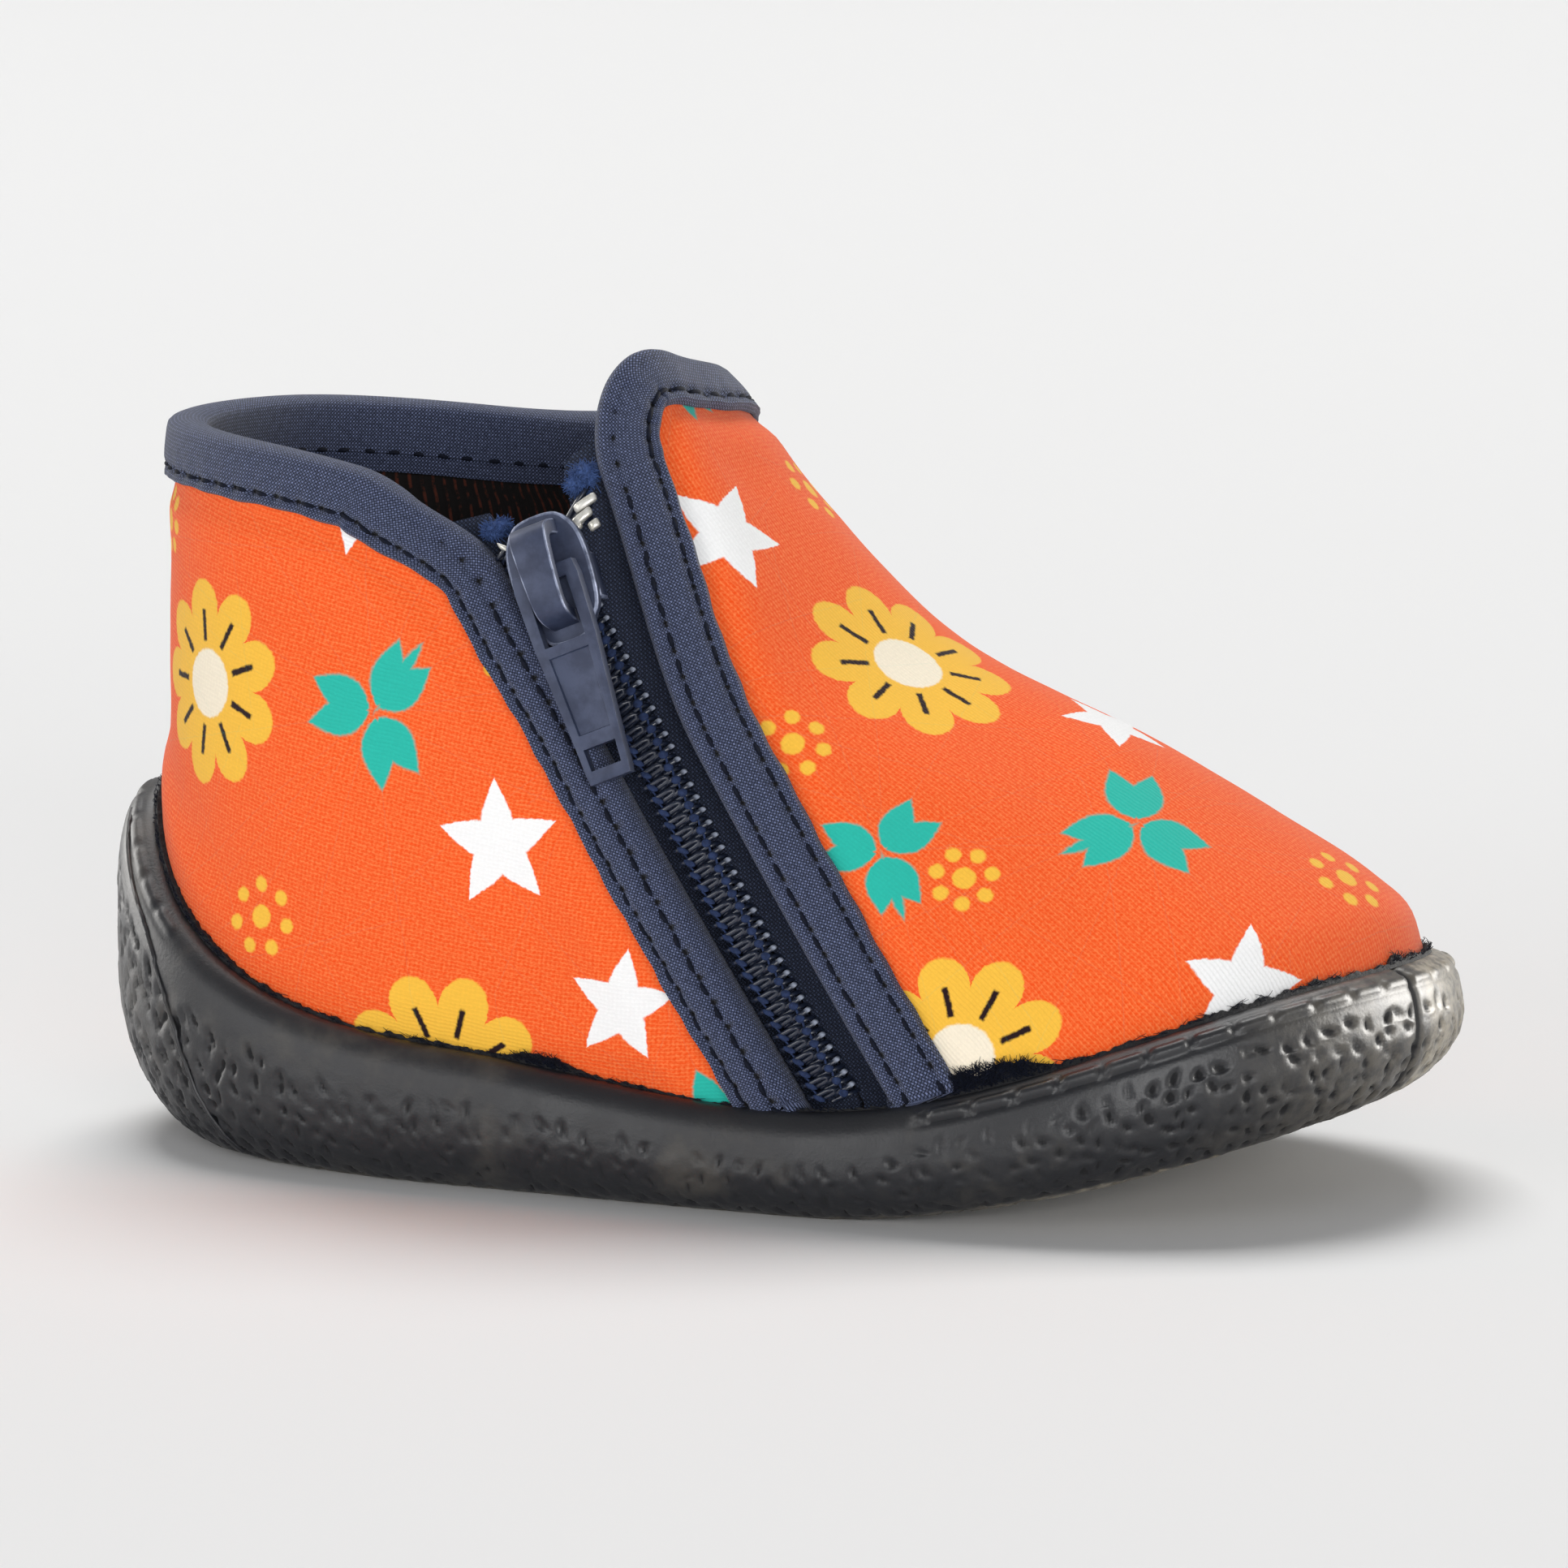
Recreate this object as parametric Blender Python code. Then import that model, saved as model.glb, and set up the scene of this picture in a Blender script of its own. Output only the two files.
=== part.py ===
"""Zipped bootie slipper for a toddler's right foot, standing empty on its sole.

Frame: +X points to the toe, -Y to the outer side with the zip and +Z up. The floor is z = 0 and the
origin lies under the middle of the shoe's box. Sizes are millimetres until a mesh is made.
"""

import math
from collections import namedtuple

import bmesh
import bpy
import numpy as np
from mathutils import Matrix, Vector

MM = 0.001
CLEARANCE = 0.3

# Upper wall
WALL_THICKNESS = 2.0
FULLNESS = 1.3
TUCK = 0.8
UPPER_COLUMNS = 52
UPPER_ROWS = 12
ROW_CROWDING = 1.2
TUCKED_CLIMBS = (-1.0, -0.8, -0.4)

# Zip slot in the wall, measured to each side of the zip's line
SLOT_REAR = 6.2
SLOT_FRONT = 4.7
REAR_SPREAD = 2.7
FRONT_SPREAD = 3.4
SPREAD_START = 0.55
REAR_CORNER = 9.0
FRONT_CORNER = 7.0
CORNER_STEPS = 5

# Sole
BED_THICKNESS = 5.5
SPRING_START = 10.0
SPRING_END = 61.0
TOE_SPRING = 10.8
SPRING_POWER = 1.58
ARCH_MIDDLE = -14.0
ARCH_HALF_LENGTH = 13.0
ARCH_RISE = 1.2
SOLE_COLUMNS = 96
SOLE_STRIPS = 6
EDGE_STEPS = 4
CUP_CLIMBS = (-1.0, -0.85, -0.5, -0.2, 0.0)
LIP_WIDTH = 1.5
LIP_DROP = 0.5
BAND_DEPTH = 4.0
STEP_OUT = 0.35
STEP_DROP = 0.4

# Insole
INSOLE_THICKNESS = 2.6
INSOLE_GAP = 0.6
INSOLE_LEVEL = -0.9

# Edge binding
BINDING_THICKNESS = 0.8
BINDING_COLLAR_WIDTH = 4.4
BINDING_REAR_WIDTH = 3.7
BINDING_FRONT_WIDTH = 4.5
BINDING_COLLAR_INNER = 5.0
BINDING_ZIP_INNER = 0.8
BINDING_LOW = 0.012
BINDING_ROWS = 16

# Zip
TAPE_THICKNESS = 0.6
TAPE_WIDTH = 10.5
TAPE_PARTING = 0.2
TAPE_SPREAD = 4.2
SPREAD_BELOW_SLIDER = 3.0
SPREAD_LENGTH = 15.0
TAPE_LOW = -0.25
TAPE_TOP = 0.965
TAPE_FACE = -(WALL_THICKNESS + BINDING_THICKNESS + 2 * CLEARANCE)
TAPE_ROWS = 26
CHAIN_HALF_WIDTH = 2.4
CHAIN_TOP = -0.2
CHAIN_RIB = 0.35
CHAIN_PITCH = 1.6
CHAIN_LOW = 0.02
CHAIN_UNDER_SLIDER = 0.5
COIL_SHOULDER = 0.6
COIL_CROWN = 0.6
ROW_WIDTH = 2.2
ROW_OVERHANG = 0.4
ROW_ABOVE_SLIDER = 0.9
ROW_TOP = 0.955
SLIDER_CLIMB = 0.815
SLIDER_TURN = 9.0
SLIDER_ROLL = 8.0
SLIDER_SHIFT = -0.2

# Slider, along the zip from its middle, across it and out from the upper's face
PLATE_LOW = 0.7
PLATE_HIGH = 1.9
INNER_PLATE_HIGH = -5.2
INNER_PLATE_LOW = -6.2
NECK_HALF_WIDTH = 0.9
NECK_START = 3.2
NECK_END = 5.8
FLANGE_INSIDE = 3.2
FLANGE_OUTSIDE = 3.8
FLANGE_LOW = -0.9
FLANGE_START = -2.6
FLANGE_END = 2.0
JOIN_OVERLAP = 0.5
PIVOT_ALONG = 0.6
PIVOT_OUT = 3.25

# Pull tab, along from its pivot
TAB_THICKNESS = 1.3
TAB_REST_LEAN = 3.0
TAB_PANEL_DEPTH = 0.3
TAB_PANEL_EDGE = 0.15

# Shading: faces that meet at less than this angle look round
CLOTH_ROUND_ANGLE = 40.0
METAL_ROUND_ANGLE = 30.0

# One rib a row, from the heel's back round the outer side, the toe and the inner side.
# The rim is where the upper leaves the sole; crest is the share of the vamp's centre line that the
# rib follows; sag and swell move its middle down and sideways. Flare, under and edge shape the sole.
Rib = namedtuple(
    "Rib", "place rim_x rim_y rim_z collar_x collar_y collar_z crest sag swell flare under edge"
)
RIBS = (
    Rib("heel back", -60.6, 0.5, 32.6, -58.7, 0.0, 67.0, 0.0, 0.0, 0.0, 4.4, 12.0, 17.0),
    Rib("heel outer", -55.4, -12.8, 24.4, -54.1, -11.7, 66.9, 0.0, 0.0, 0.0, 4.2, 9.0, 13.0),
    Rib("counter outer", -42.0, -20.4, 16.2, -44.1, -17.8, 66.3, 0.0, 0.0, -0.3, 3.6, 6.0, 8.0),
    Rib("quarter outer", -20.0, -23.6, 12.8, -32.8, -20.0, 64.5, 0.0, 0.0, -0.8, 3.5, 5.0, 6.0),
    Rib("zip", 15.0, -26.4, 10.5, -20.8, -18.4, 66.8, 0.0, 0.0, -1.5, 3.5, 5.0, 5.5),
    Rib("ball outer", 35.0, -25.0, 15.6, -11.2, -13.4, 75.2, 0.5, 2.0, -0.8, 3.6, 6.0, 7.0),
    Rib("toe outer", 51.4, -16.4, 21.0, -8.2, -7.2, 75.0, 0.85, 2.0, 0.0, 3.8, 9.0, 9.5),
    Rib("toe tip", 60.3, 2.5, 22.0, -6.9, 0.5, 73.2, 1.0, 0.0, 0.0, 3.9, 11.0, 10.0),
    Rib("toe inner", 54.8, 16.8, 20.0, -8.4, 7.6, 71.4, 0.85, 2.0, 0.0, 3.8, 9.0, 9.0),
    Rib("ball inner", 38.0, 24.5, 16.0, -12.0, 13.4, 68.4, 0.5, 2.0, 0.8, 3.6, 6.0, 7.0),
    Rib("waist inner", 8.0, 21.2, 11.5, -21.3, 18.1, 66.0, 0.0, 0.0, 1.2, 3.5, 5.0, 5.5),
    Rib("quarter inner", -20.0, 19.8, 12.8, -32.8, 20.0, 65.5, 0.0, 0.0, 0.8, 3.5, 5.0, 6.0),
    Rib("counter inner", -42.0, 19.0, 16.2, -44.1, 17.7, 66.3, 0.0, 0.0, 0.3, 3.6, 6.0, 8.0),
    Rib("heel inner", -55.4, 12.4, 24.4, -54.1, 11.5, 66.9, 0.0, 0.0, 0.0, 4.2, 9.0, 13.0),
)
ZIP_RIB = 4
TOE_RIB = 7

# The vamp's centre line from the rim at the toe to the collar's front
Crest = namedtuple("Crest", "x z")
VAMP_CREST = (
    Crest(60.3, 22.0),
    Crest(57.9, 27.0),
    Crest(52.0, 31.5),
    Crest(42.5, 37.0),
    Crest(33.0, 42.0),
    Crest(21.0, 47.3),
    Crest(11.5, 54.0),
    Crest(2.0, 63.4),
    Crest(-6.9, 73.2),
)

# The smooth band under the sole's lip: shares of its depth and of the way out to the step
BandRow = namedtuple("BandRow", "drop out")
SOLE_BAND = (
    BandRow(0.24, 0.70),
    BandRow(0.55, 0.92),
    BandRow(1.0, 1.0),
)

# The slider's outer plate, half as wide at each place along it
PlateRow = namedtuple("PlateRow", "along half_width")
SLIDER_PLATE = (
    PlateRow(-5.7, 1.9),
    PlateRow(-4.3, 2.6),
    PlateRow(-3.1, 3.7),
    PlateRow(1.0, 4.0),
    PlateRow(4.0, 3.8),
    PlateRow(5.8, 2.8),
    PlateRow(6.6, 1.6),
)
PLATE_END = SLIDER_PLATE[-1].along
INNER_PLATE = (
    PlateRow(-4.6, 2.6),
    PlateRow(1.0, 3.3),
    PlateRow(5.0, 2.8),
    PlateRow(6.2, 1.6),
)

# The bridge over the plate, its outer and inner faces and half its width
BridgeRow = namedtuple("BridgeRow", "outer_along outer_out inner_along inner_out half_width")
SLIDER_BRIDGE = (
    BridgeRow(5.8, 1.5, 4.3, 1.5, 1.9),
    BridgeRow(5.3, 4.7, 4.1, 4.0, 1.85),
    BridgeRow(3.9, 5.7, 3.2, 4.6, 1.8),
    BridgeRow(-2.1, 5.7, -1.6, 4.6, 1.5),
    BridgeRow(-3.7, 4.7, -2.8, 3.9, 1.45),
    BridgeRow(-4.3, 1.5, -3.0, 1.5, 1.4),
)

# The pull tab's rows: its half width, its window's half width and what lies between this row and the next
TabRow = namedtuple("TabRow", "along half_width window_half middle")
PULL_TAB = (
    TabRow(-0.65, 3.0, 2.05, "solid"),
    TabRow(0.65, 3.2, 2.05, "open"),
    TabRow(6.4, 3.05, 2.05, "solid"),
    TabRow(7.4, 2.95, 2.0, "panel"),
    TabRow(15.0, 2.35, 1.6, "solid"),
    TabRow(16.3, 2.25, 1.6, "open"),
    TabRow(18.4, 2.15, 1.5, "solid"),
    TabRow(19.6, 2.0, 1.4, "end"),
)

# Colours and finish of each piece
Finish = namedtuple("Finish", "color roughness metallic")
FINISHES = {
    "sole": Finish((0.042, 0.041, 0.045, 1.0), 0.62, 0.0),
    "insole": Finish((0.030, 0.020, 0.018, 1.0), 0.95, 0.0),
    "upper": Finish((0.870, 0.105, 0.018, 1.0), 0.90, 0.0),
    "edge_binding": Finish((0.048, 0.062, 0.125, 1.0), 0.85, 0.0),
    "zip_tape": Finish((0.012, 0.017, 0.042, 1.0), 0.90, 0.0),
    "zip_coil": Finish((0.016, 0.022, 0.060, 1.0), 0.55, 0.0),
    "zip_metal": Finish((0.066, 0.085, 0.190, 1.0), 0.45, 0.3),
}


class Spline:
    """Cubic spline through the rows of a table, closed round a loop or open with free ends."""

    def __init__(self, knots, rows, closed):
        self.knots = np.asarray(knots, float)
        rows = np.asarray(rows, float)
        self.rows = np.vstack([rows, rows[:1]]) if closed else rows
        self.closed = closed
        self.bends = self.solve()

    def solve(self):
        count = len(self.knots)
        gaps = np.diff(self.knots)
        slopes = np.diff(self.rows, axis=0) / gaps[:, None]
        matrix = np.eye(count)
        sides = np.zeros_like(self.rows)
        for i in range(1, count - 1):
            matrix[i, i - 1:i + 2] = gaps[i - 1], 2 * (gaps[i - 1] + gaps[i]), gaps[i]
            sides[i] = 6 * (slopes[i] - slopes[i - 1])
        if self.closed:
            matrix[0, :2] = 2 * (gaps[-1] + gaps[0]), gaps[0]
            matrix[0, -2] += gaps[-1]
            sides[0] = 6 * (slopes[0] - slopes[-1])
            matrix[-1, 0] = -1
        return np.linalg.solve(matrix, sides)

    def at(self, place):
        place = np.asarray(place, float)
        if self.closed:
            place = np.mod(place, self.knots[-1])
        index = np.clip(np.searchsorted(self.knots, place, side="right") - 1, 0, len(self.knots) - 2)
        gap = (self.knots[index + 1] - self.knots[index])[..., None]
        ahead = (place - self.knots[index])[..., None] / gap
        behind = 1 - ahead
        curve = (behind ** 3 - behind) * self.bends[index] + (ahead ** 3 - ahead) * self.bends[index + 1]
        return behind * self.rows[index] + ahead * self.rows[index + 1] + curve * gap ** 2 / 6


def running_length(points):
    """Distance along a line of points, starting at nought."""
    steps = np.linalg.norm(np.diff(points, axis=0), axis=1)
    return np.concatenate([[0.0], np.cumsum(steps)])


def smooth_step(value):
    share = np.clip(value, 0.0, 1.0)
    return share * share * (3 - 2 * share)


def rib_loop():
    """Spline of the rib table round the rim, measured in mm along the rim's chords."""
    rows = np.array([rib[1:] for rib in RIBS], float)
    corners = np.vstack([rows[:, :2], rows[:1, :2]])
    return Spline(running_length(corners), rows, closed=True)


def crest_line():
    """Share of the way back and up that the vamp's centre line has made, by share of its length."""
    points = np.array(VAMP_CREST, float)
    length = running_length(points)
    shares = (points - points[0]) / (points[-1] - points[0])
    return Spline(length / length[-1], shares, closed=False)


RIB_LOOP = rib_loop()
CREST_LINE = crest_line()
ROUND = RIB_LOOP.knots[-1]
ZIP_PLACE = RIB_LOOP.knots[ZIP_RIB]
TOE_PLACE = RIB_LOOP.knots[TOE_RIB]


def spring(x):
    """Height of the sole's bottom edge: level from heel to ball, then the toe spring."""
    return TOE_SPRING * (np.clip(x - SPRING_START, 0, None) / (SPRING_END - SPRING_START)) ** SPRING_POWER


def ground(x):
    """Height of the sole's underside inside its edge, with the arch."""
    reach = np.clip(np.abs(x - ARCH_MIDDLE) / ARCH_HALF_LENGTH, 0, 1)
    return spring(x) + ARCH_RISE * (1 - smooth_step(reach))


def foot_bed(x):
    """Height of the floor of the sole's cup."""
    return BED_THICKNESS + spring(x)


def outward(place):
    """Level direction out of the shoe at a place round the rim."""
    step = 0.05
    along = RIB_LOOP.at(place + step)[..., :2] - RIB_LOOP.at(place - step)[..., :2]
    along /= np.linalg.norm(along, axis=-1, keepdims=True)
    return np.stack([along[..., 1], -along[..., 0]], axis=-1)


def wall(place, climb):
    """Outer face of the upper: climb is -1 at the bottom edge, 0 at the rim and 1 at the collar."""
    place, climb = np.broadcast_arrays(np.asarray(place, float), np.asarray(climb, float))
    rib = Rib("spline", *np.moveaxis(RIB_LOOP.at(place), -1, 0))
    up = np.clip(climb, 0, None)
    down = np.clip(-climb, 0, None)
    crest = CREST_LINE.at(np.clip(up, 0, 1))
    over = np.clip(up - 1, 0, None)
    share_x = up + rib.crest * (crest[..., 0] + over - up)
    share_z = up + rib.crest * (crest[..., 1] + over - up)
    share_y = up ** FULLNESS
    middle = np.sin(math.pi * np.clip(up, 0, 1))
    x = rib.rim_x + (rib.collar_x - rib.rim_x) * share_x
    y = rib.rim_y + (rib.collar_y - rib.rim_y) * share_y + rib.swell * middle
    z = rib.rim_z + (rib.collar_z - rib.rim_z) * share_z - rib.sag * middle
    z = z - down * (rib.rim_z - foot_bed(rib.rim_x) - CLEARANCE)
    inset = outward(place) * (TUCK * down ** 4)[..., None]
    return np.stack([x - inset[..., 0], y - inset[..., 1], z], axis=-1)


def wall_frame(place, climb):
    """Steps of the wall along place and climb, and its unit normal pointing out."""
    step = 0.2
    rise = 0.004
    along = (wall(place + step, climb) - wall(place - step, climb)) / (2 * step)
    up = (wall(place, climb + rise) - wall(place, climb - rise)) / (2 * rise)
    normal = np.cross(along, up)
    normal /= np.linalg.norm(normal, axis=-1, keepdims=True)
    return along, up, normal


def offset(place, climb, distance):
    """Point at a distance out of the upper's outer face."""
    normal = wall_frame(place, climb)[2]
    return wall(place, climb) + normal * np.asarray(distance, float)[..., None]


def across_zip(climb, distance):
    """Place round the rim that lies at a distance in front of the zip's line."""
    along, up, _ = wall_frame(np.full_like(np.asarray(climb, float), ZIP_PLACE), climb)
    up = up / np.linalg.norm(up, axis=-1, keepdims=True)
    square = along - up * np.sum(along * up, axis=-1, keepdims=True)
    return ZIP_PLACE + distance / np.linalg.norm(square, axis=-1)


def slot_edge(climb, near, spread):
    """Distance of an edge of the zip slot from the zip's line, wider near the collar."""
    return near + spread * smooth_step((climb - SPREAD_START) / (1 - SPREAD_START))


def shell_place(share, climb):
    """Place round the rim by share of the way from the slot's front edge round to its rear edge."""
    front = across_zip(climb, slot_edge(climb, SLOT_FRONT, FRONT_SPREAD))
    rear = across_zip(climb, -slot_edge(climb, SLOT_REAR, REAR_SPREAD)) + ROUND
    return front + share * (rear - front)


def corner_drop(distance, radius):
    """How far a rounded corner lies below the collar's line at a distance from the slot's edge."""
    inside = np.clip(radius - distance, 0, radius)
    return radius - np.sqrt(radius ** 2 - inside ** 2)


def collar_shares():
    """Shares round the collar for the upper's columns, and the climb of the collar's edge at each."""
    fine = np.linspace(0, 1, 2001)
    length = running_length(wall(shell_place(fine, np.ones_like(fine)), np.ones_like(fine)))
    turns = 1 - np.cos(np.linspace(0, math.pi / 2, CORNER_STEPS + 1))
    front = np.interp(FRONT_CORNER * turns, length, fine)
    rear = np.interp(length[-1] - REAR_CORNER * turns[::-1], length, fine)
    between = np.linspace(front[-1], rear[0], UPPER_COLUMNS + 1)[1:-1]
    shares = np.concatenate([front, between, rear])
    places = np.interp(shares, fine, length)
    drop = corner_drop(places, FRONT_CORNER) + corner_drop(length[-1] - places, REAR_CORNER)
    one = np.ones_like(shares)
    rise = np.linalg.norm(wall_frame(shell_place(shares, one), one)[1], axis=-1)
    return shares, 1 - drop / rise


SHARES, EDGE_CLIMB = collar_shares()


def grid_faces(rows, columns, first=0, wrap=False, flip=False):
    """Quads of a grid of points numbered row by row."""
    faces = []
    for row in range(rows - 1):
        for column in range(columns if wrap else columns - 1):
            beside = (column + 1) % columns
            low, high = first + row * columns, first + (row + 1) * columns
            quad = [low + column, low + beside, high + beside, high + column]
            faces.append(quad[::-1] if flip else quad)
    return faces


def tube_points(sections):
    """Vertices and faces of a closed bar swept through sections that run the same way round."""
    rows, columns = len(sections), len(sections[0])
    points = np.concatenate(sections)
    faces = grid_faces(rows, columns, wrap=True)
    faces.append(list(range(columns))[::-1])
    faces.append([(rows - 1) * columns + column for column in range(columns)])
    return points, faces


def sole_section(place):
    """Section of the sole at a place, from the cup's floor over the lip and down to the underside."""
    rib = Rib("spline", *RIB_LOOP.at(place))
    out = outward(place)

    def side(distance, height):
        return np.array([rib.rim_x + out[0] * distance, rib.rim_y + out[1] * distance, height])

    points = []
    for climb in CUP_CLIMBS:
        points.append(offset(place, climb, CLEARANCE))
    points[0][2] = foot_bed(rib.rim_x)
    lip = CLEARANCE + LIP_WIDTH
    points.append(side(lip - LIP_DROP, rib.rim_z))
    points.append(side(lip, rib.rim_z - LIP_DROP))
    bulge = rib.flare - STEP_OUT
    for row in SOLE_BAND:
        points.append(side(bulge * row.out, rib.rim_z - BAND_DEPTH * row.drop))
    tread = rib.rim_x + out[0] * (rib.flare - rib.under)
    low = float(spring(tread))
    step_height = rib.rim_z - BAND_DEPTH - STEP_DROP
    points.append(side(rib.flare, step_height))
    edge = min(rib.edge, step_height - low - STEP_DROP)
    for turn in np.linspace(0, math.pi / 2, EDGE_STEPS + 1):
        inward = rib.under * (1 - math.cos(turn))
        points.append(side(rib.flare - inward, low + edge * (1 - math.sin(turn))))
    return points


def sole_columns(count):
    """Places for the sole's columns: the same number on the outer and on the inner side."""
    half = count // 2
    outer = np.linspace(0, TOE_PLACE, half, endpoint=False)
    inner = np.linspace(TOE_PLACE, ROUND, half, endpoint=False)
    return np.concatenate([outer, inner])


def bridge_loop(points, loop, height, strips, flip):
    """Faces that close a loop of points with strips between its two sides, at a height for each x."""
    count = len(loop)
    half = count // 2
    rows = [[loop[0]] * (strips + 1)]
    for column in range(1, half):
        outer, inner = loop[column], loop[count - column]
        row = [outer]
        for strip in range(1, strips):
            share = strip / strips
            point = np.array(points[outer]) * (1 - share) + np.array(points[inner]) * share
            point[2] = height(point[0])
            points.append(point)
            row.append(len(points) - 1)
        rows.append(row + [inner])
    rows.append([loop[half]] * (strips + 1))
    faces = []
    for near, far in zip(rows[:-1], rows[1:]):
        for strip in range(strips):
            corners = [near[strip], near[strip + 1], far[strip + 1], far[strip]]
            face = [corner for i, corner in enumerate(corners) if corner != corners[i - 1]]
            faces.append(face[::-1] if flip else face)
    return faces


def sole_mesh():
    sections = [sole_section(place) for place in sole_columns(SOLE_COLUMNS)]
    rows = len(sections[0])
    points = [section[row] for row in range(rows) for section in sections]
    faces = grid_faces(rows, SOLE_COLUMNS, wrap=True)
    bed = list(range(SOLE_COLUMNS))
    tread = list(range((rows - 1) * SOLE_COLUMNS, rows * SOLE_COLUMNS))
    faces += bridge_loop(points, bed, foot_bed, SOLE_STRIPS, flip=True)
    faces += bridge_loop(points, tread, ground, SOLE_STRIPS, flip=False)
    return np.array(points), faces


def insole_mesh():
    """Foot bed lying on the cup's floor, clear of the upper's inner face."""
    places = sole_columns(SOLE_COLUMNS // 2)
    inside = -(WALL_THICKNESS + INSOLE_GAP)
    level = np.full_like(places, INSOLE_LEVEL)
    outline = offset(places, level, np.full_like(places, inside))
    low = outline.copy()
    low[:, 2] = foot_bed(low[:, 0]) + CLEARANCE
    high = low + np.array([0.0, 0.0, INSOLE_THICKNESS])
    count = len(places)
    points = list(low) + list(high)
    faces = grid_faces(2, count, wrap=True)

    def under(x):
        return foot_bed(x) + CLEARANCE

    def over(x):
        return under(x) + INSOLE_THICKNESS

    faces += bridge_loop(points, list(range(count)), under, SOLE_STRIPS // 2, flip=False)
    faces += bridge_loop(points, list(range(count, 2 * count)), over, SOLE_STRIPS // 2, flip=True)
    return np.array(points), faces


def upper_climbs():
    """Climb of each row of the upper at each of its columns."""
    below = np.array(TUCKED_CLIMBS)
    shares = np.linspace(0, 1, UPPER_ROWS + 1) ** ROW_CROWDING
    above = shares[:, None] * EDGE_CLIMB[None, :]
    return np.vstack([np.repeat(below[:, None], len(EDGE_CLIMB), axis=1), above])


def upper_mesh():
    """Hollow wall from the slot's front edge round the toe and heel to the slot's rear edge."""
    climbs = upper_climbs()
    rows, columns = climbs.shape
    places = shell_place(np.repeat(SHARES[None, :], rows, axis=0), climbs)
    outer = offset(places, climbs, np.zeros_like(climbs)).reshape(-1, 3)
    inner = offset(places, climbs, np.full_like(climbs, -WALL_THICKNESS)).reshape(-1, 3)
    count = rows * columns
    faces = grid_faces(rows, columns) + grid_faces(rows, columns, first=count, flip=True)
    border = list(range(columns))
    border += [row * columns + columns - 1 for row in range(1, rows)]
    border += [count - 1 - column for column in range(1, columns)]
    border += [row * columns for row in range(rows - 2, 0, -1)]
    for here, ahead in zip(border, border[1:] + border[:1]):
        faces.append([ahead, here, count + here, count + ahead])
    return np.vstack([outer, inner]), faces


def binding_path():
    """Places and climbs along the slot's rear edge, round the collar and down its front edge."""
    shares = np.linspace(0, 1, BINDING_ROWS + 1)
    rear = BINDING_LOW + shares * (EDGE_CLIMB[-1] - BINDING_LOW)
    front = BINDING_LOW + shares[::-1] * (EDGE_CLIMB[0] - BINDING_LOW)
    share = np.concatenate([np.ones(BINDING_ROWS), SHARES[::-1], np.zeros(BINDING_ROWS)])
    climb = np.concatenate([rear[:-1], EDGE_CLIMB[::-1], front[1:]])
    return shell_place(share, climb), climb


def binding_mesh():
    """Folded tape over the edge: an outer leg, a turn and an inner leg that is short along the zip.

    Its sections stand square to the edge, and its two ends follow the sole's rim.
    """
    places, climbs = binding_path()
    along, up, normal = wall_frame(places, climbs)
    run = np.gradient(wall(places, climbs), axis=0)
    inward = np.cross(normal, run)
    inward /= np.linalg.norm(inward, axis=1, keepdims=True)
    order = np.arange(len(places))
    from_end = np.minimum(order, order[::-1])
    collar = smooth_step((from_end - BINDING_ROWS) / (2 * CORNER_STEPS))
    square = np.clip(from_end / 2, 0, 1)
    zip_leg = np.where(order < len(order) / 2, BINDING_REAR_WIDTH, BINDING_FRONT_WIDTH)
    outer_leg = zip_leg + collar * (BINDING_COLLAR_WIDTH - zip_leg)
    inner_leg = BINDING_ZIP_INNER + collar * (BINDING_COLLAR_INNER - BINDING_ZIP_INNER)
    turn = CLEARANCE + BINDING_THICKNESS
    outer_skin, inner_skin = turn, -WALL_THICKNESS - turn
    outer_face, inner_face = CLEARANCE, -WALL_THICKNESS - CLEARANCE
    sections = []
    for i in order:
        profile = (
            (outer_leg[i], outer_face),
            (outer_leg[i], outer_skin),
            (0.0, outer_skin),
            (-turn, -WALL_THICKNESS / 4),
            (-turn, -WALL_THICKNESS * 3 / 4),
            (0.0, inner_skin),
            (inner_leg[i], inner_skin),
            (inner_leg[i], inner_face),
            (-CLEARANCE, inner_face),
            (-CLEARANCE, outer_face),
        )
        steps = np.stack([along[i], up[i]], axis=1)
        section = []
        for distance, height in profile:
            shift = np.linalg.lstsq(steps, inward[i] * distance, rcond=None)[0]
            section.append(offset(places[i] + shift[0], climbs[i] + shift[1] * square[i], height))
        sections.append(np.array(section))
    return tube_points(sections)


def zip_strip(climbs, near, far, low, high):
    """Flat bar along the zip between two distances from its line and two heights."""
    sections = []
    for climb, start, end in zip(climbs, near, far):
        section = []
        for distance, height in ((start, low), (start, high), (end, high), (end, low)):
            place = across_zip(climb, distance)
            section.append(offset(place, climb, height))
        sections.append(np.array(section))
    return sections


def zip_lengths():
    """Climb and length along the zip's line, for stepping along it in mm."""
    climbs = np.linspace(-0.3, 1.0, 400)
    points = wall(np.full_like(climbs, ZIP_PLACE), climbs)
    return climbs, running_length(points)


ZIP_CLIMBS, ZIP_RUN = zip_lengths()
SLIDER_RUN = float(np.interp(SLIDER_CLIMB, ZIP_CLIMBS, ZIP_RUN))


def tape_parting(climbs):
    """Half the gap between the two tapes: closed below the slider, spread above it."""
    run = np.interp(climbs, ZIP_CLIMBS, ZIP_RUN) - SLIDER_RUN
    return TAPE_PARTING + TAPE_SPREAD * smooth_step((run + SPREAD_BELOW_SLIDER) / SPREAD_LENGTH)


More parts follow.
